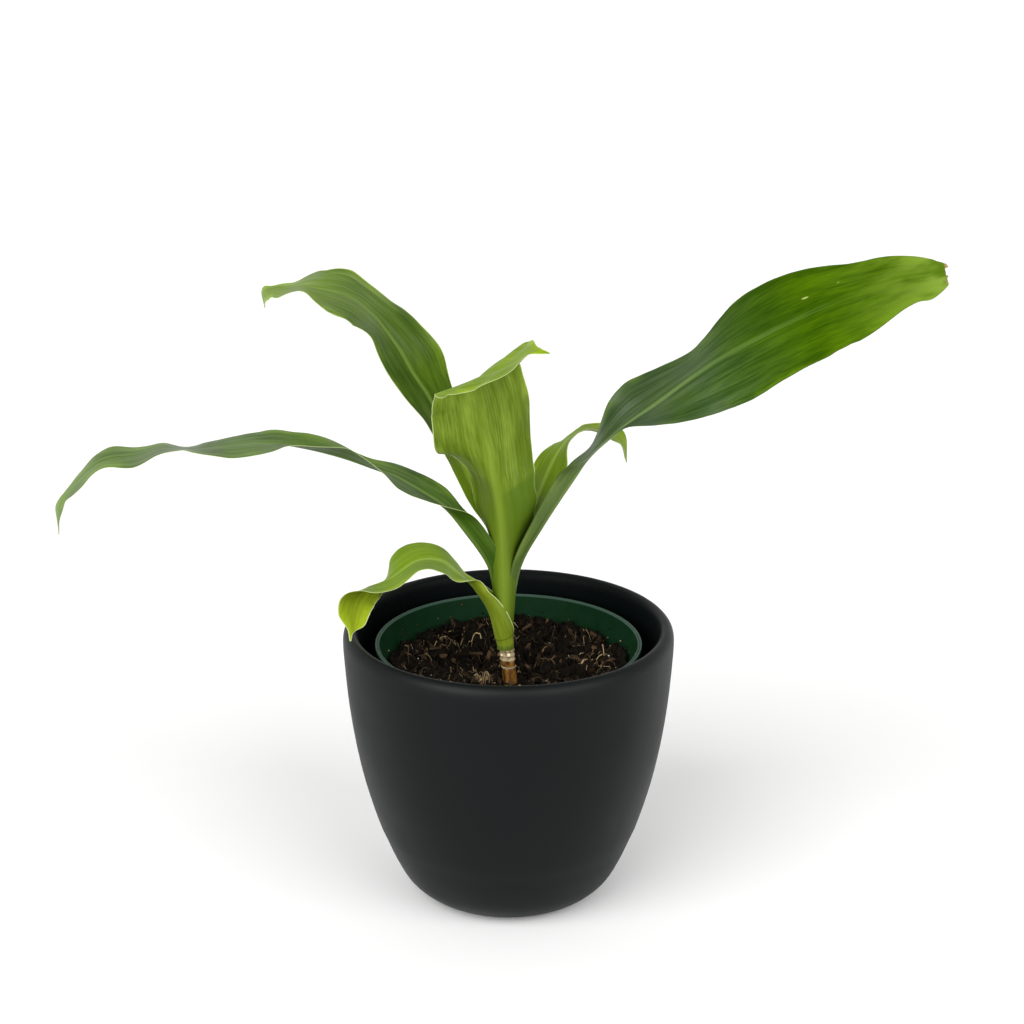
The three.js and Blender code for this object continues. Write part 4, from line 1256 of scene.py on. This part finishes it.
# %% The leaves
SIDE = [left_upper, grown_under, margin.finish]
BACK = [back_upper, grown_under, margin.finish]
TORN = [right_upper, right_under, grown_under]
YOUNG = [young_upper, young_under, margin.finish]
CENTRAL = [young_upper, centre_under, margin.finish]
LOWER_EDGES = (LOWER_LEFT_NEAR, LOWER_LEFT_FAR)
CENTRE_EDGES = (CENTRE_RIGHT, CENTRE_LEFT)
RIGHT_EDGES = (RIGHT_UPPER, RIGHT_LOWER)
LEFT_EDGES = (LEFT_NEAR, LEFT_FAR)
REAR_EDGES = (REAR_LEFT, REAR_NEAR)
UPPER_EDGES = (UPPER_NEAR, UPPER_FAR)
grow_leaf("lower_left_leaf", LOWER_LEFT, 190, LOWER_EDGES, YOUNG, "leaf_lower_left", 1)
grow_leaf("centre_leaf", CENTRE, -90, CENTRE_EDGES, CENTRAL, "leaf_center", 2, strips=34)
grow_leaf("right_leaf", RIGHT, -5, RIGHT_EDGES, TORN, "leaf_right", 3, torn=3.6)
grow_leaf("left_leaf", LEFT, 183, LEFT_EDGES, SIDE, "leaf_left", 4)
grow_leaf("rear_right_leaf", REAR_RIGHT, 45, REAR_EDGES, YOUNG, "leaf_rear_right", 5)
grow_leaf("upper_left_leaf", UPPER_LEFT, 150, UPPER_EDGES, BACK, "leaf_upper_left", 6)

# %% [markdown]
# ## Shoot
# Inside the leaf bases stands the slender green shoot, the youngest leaves
# still rolled up. Hardly any of it shows. It is grown like the cane, but
# smooth, and its finish has only fine streaks that run up it.

# %% Shoot
SHOOT = [
    [-1.7, -6, 121, 3.1], [-2, -6, 125, 2.8], [-2.2, -6, 134, 2.8], [-2.2, -6.2, 146, 2.8],
    [-2.2, -6.4, 156, 2.6], [-2.4, -6.4, 165, 2], [-2.6, -6.4, 171, 1],
]
SHOOT_RINGS, SHOOT_SIDES = 60, 28


def smooth_skin(around, z):
    return 0.0


shoot_bmesh = round_stem(smooth_rows(SHOOT, SHOOT_RINGS), SHOOT_SIDES, smooth_skin)
rolled = Recipe("green_sheath", roughness=0.5, specular=0.15)
streak = rolled.grain(rolled.place((1, 1, 0.08)), 900, 2)
rolled.dent(streak, 0.0002, 0.5)
rolled.paint(rolled.blend(streak, shade(0.12, 0.17, 0.012), shade(0.26, 0.32, 0.05)))
keep("green_shoot", shoot_bmesh, [rolled.finish], "shoot")

# %% [markdown]
# ## Studio
# The plant stands on a seamless white floor. A curved sheet of paper would do
# in a real studio; here a flat floor is enough, because it is as white as the
# surround where the two meet. It lies a fifth of a millimetre below the foot,
# so that the two faces don't flicker.

# %% Floor
FLOOR_HALF = 8
FLOOR_BELOW = 0.2
below_foot = Matrix.Translation((0, 0, -FLOOR_BELOW * MM))
floor = bmesh.new()
bmesh.ops.create_grid(floor, x_segments=1, y_segments=1, size=FLOOR_HALF, matrix=below_foot)
floor_mesh = bpy.data.meshes.new("studio_floor")
floor.to_mesh(floor_mesh)
floor.free()
paper = Recipe("white_paper", roughness=0.9, specular=0.0)
paper_tone = paper.grain(paper.place(), 3, 1)
paper.paint(paper.blend(paper_tone, shade(0.89, 0.89, 0.885), shade(0.91, 0.91, 0.905)))
floor_mesh.materials.append(paper.finish)
studio_floor = bpy.data.objects.new("studio_floor", floor_mesh)
scene.collection.objects.link(studio_floor)
print("floor is %d m wide" % (2 * FLOOR_HALF))

# %% [markdown]
# Two broad, soft suns shine from the camera's side, the left one stronger, so
# the faint shadows fall backwards to both sides. Area lights would be softer
# still, but they fall off with distance, and suns light the whole floor
# evenly, so no horizon shows.


# %% Suns
def soft_sun(name, direction, strength, width):
    """A sun that shines along direction, width degrees across."""
    light = bpy.data.lights.new(name, "SUN")
    light.energy = strength
    light.angle = math.radians(width)
    lamp = bpy.data.objects.new(name, light)
    lamp.rotation_euler = Vector(direction).to_track_quat("-Z", "Y").to_euler()
    scene.collection.objects.link(lamp)


soft_sun("key", (0.56, 0.78, -0.55), 3.0, 55)
soft_sun("fill", (-0.62, 0.7, -0.5), 1.9, 50)
print("2 soft suns")

# %% [markdown]
# The white surround is brighter behind the plant than on the camera's side,
# and dimmer overhead. That keeps the front of the dark planter nearly black
# and lights its turned-away sides, as in the photograph. Two map ranges give
# its strength by direction, and their product goes to the background.

# %% Surround
FRONT_STRENGTH, BACK_STRENGTH = 0.52, 0.92
OVERHEAD_SHARE = 0.5
world = bpy.data.worlds.new("studio")
world.use_nodes = True
scene.world = world
nodes, links = world.node_tree.nodes, world.node_tree.links
direction = nodes.new("ShaderNodeTexCoord")
parts = nodes.new("ShaderNodeSeparateXYZ")
links.new(direction.outputs["Generated"], parts.inputs[0])


def by_direction(axis, start, end, low, high, how):
    """A number that goes from low to high as the direction's axis goes from start to end."""
    made = nodes.new("ShaderNodeMapRange")
    made.interpolation_type = how
    for socket, value in (("From Min", start), ("From Max", end), ("To Min", low), ("To Max", high)):
        made.inputs[socket].default_value = value
    links.new(parts.outputs[axis], made.inputs["Value"])
    return made


surround = by_direction("Y", -0.7, 0.6, FRONT_STRENGTH, BACK_STRENGTH, "SMOOTHSTEP")
overhead = by_direction("Z", 0.3, 0.9, 1.0, OVERHEAD_SHARE, "LINEAR")
strength = nodes.new("ShaderNodeMath")
strength.operation = "MULTIPLY"
links.new(surround.outputs[0], strength.inputs[0])
links.new(overhead.outputs[0], strength.inputs[1])
links.new(strength.outputs[0], nodes["Background"].inputs["Strength"])
nodes["Background"].inputs["Color"].default_value = (1, 1, 1, 1)
scene.view_settings.view_transform = "Standard"
print("white surround, %.2f to %.2f strong" % (FRONT_STRENGTH, BACK_STRENGTH))
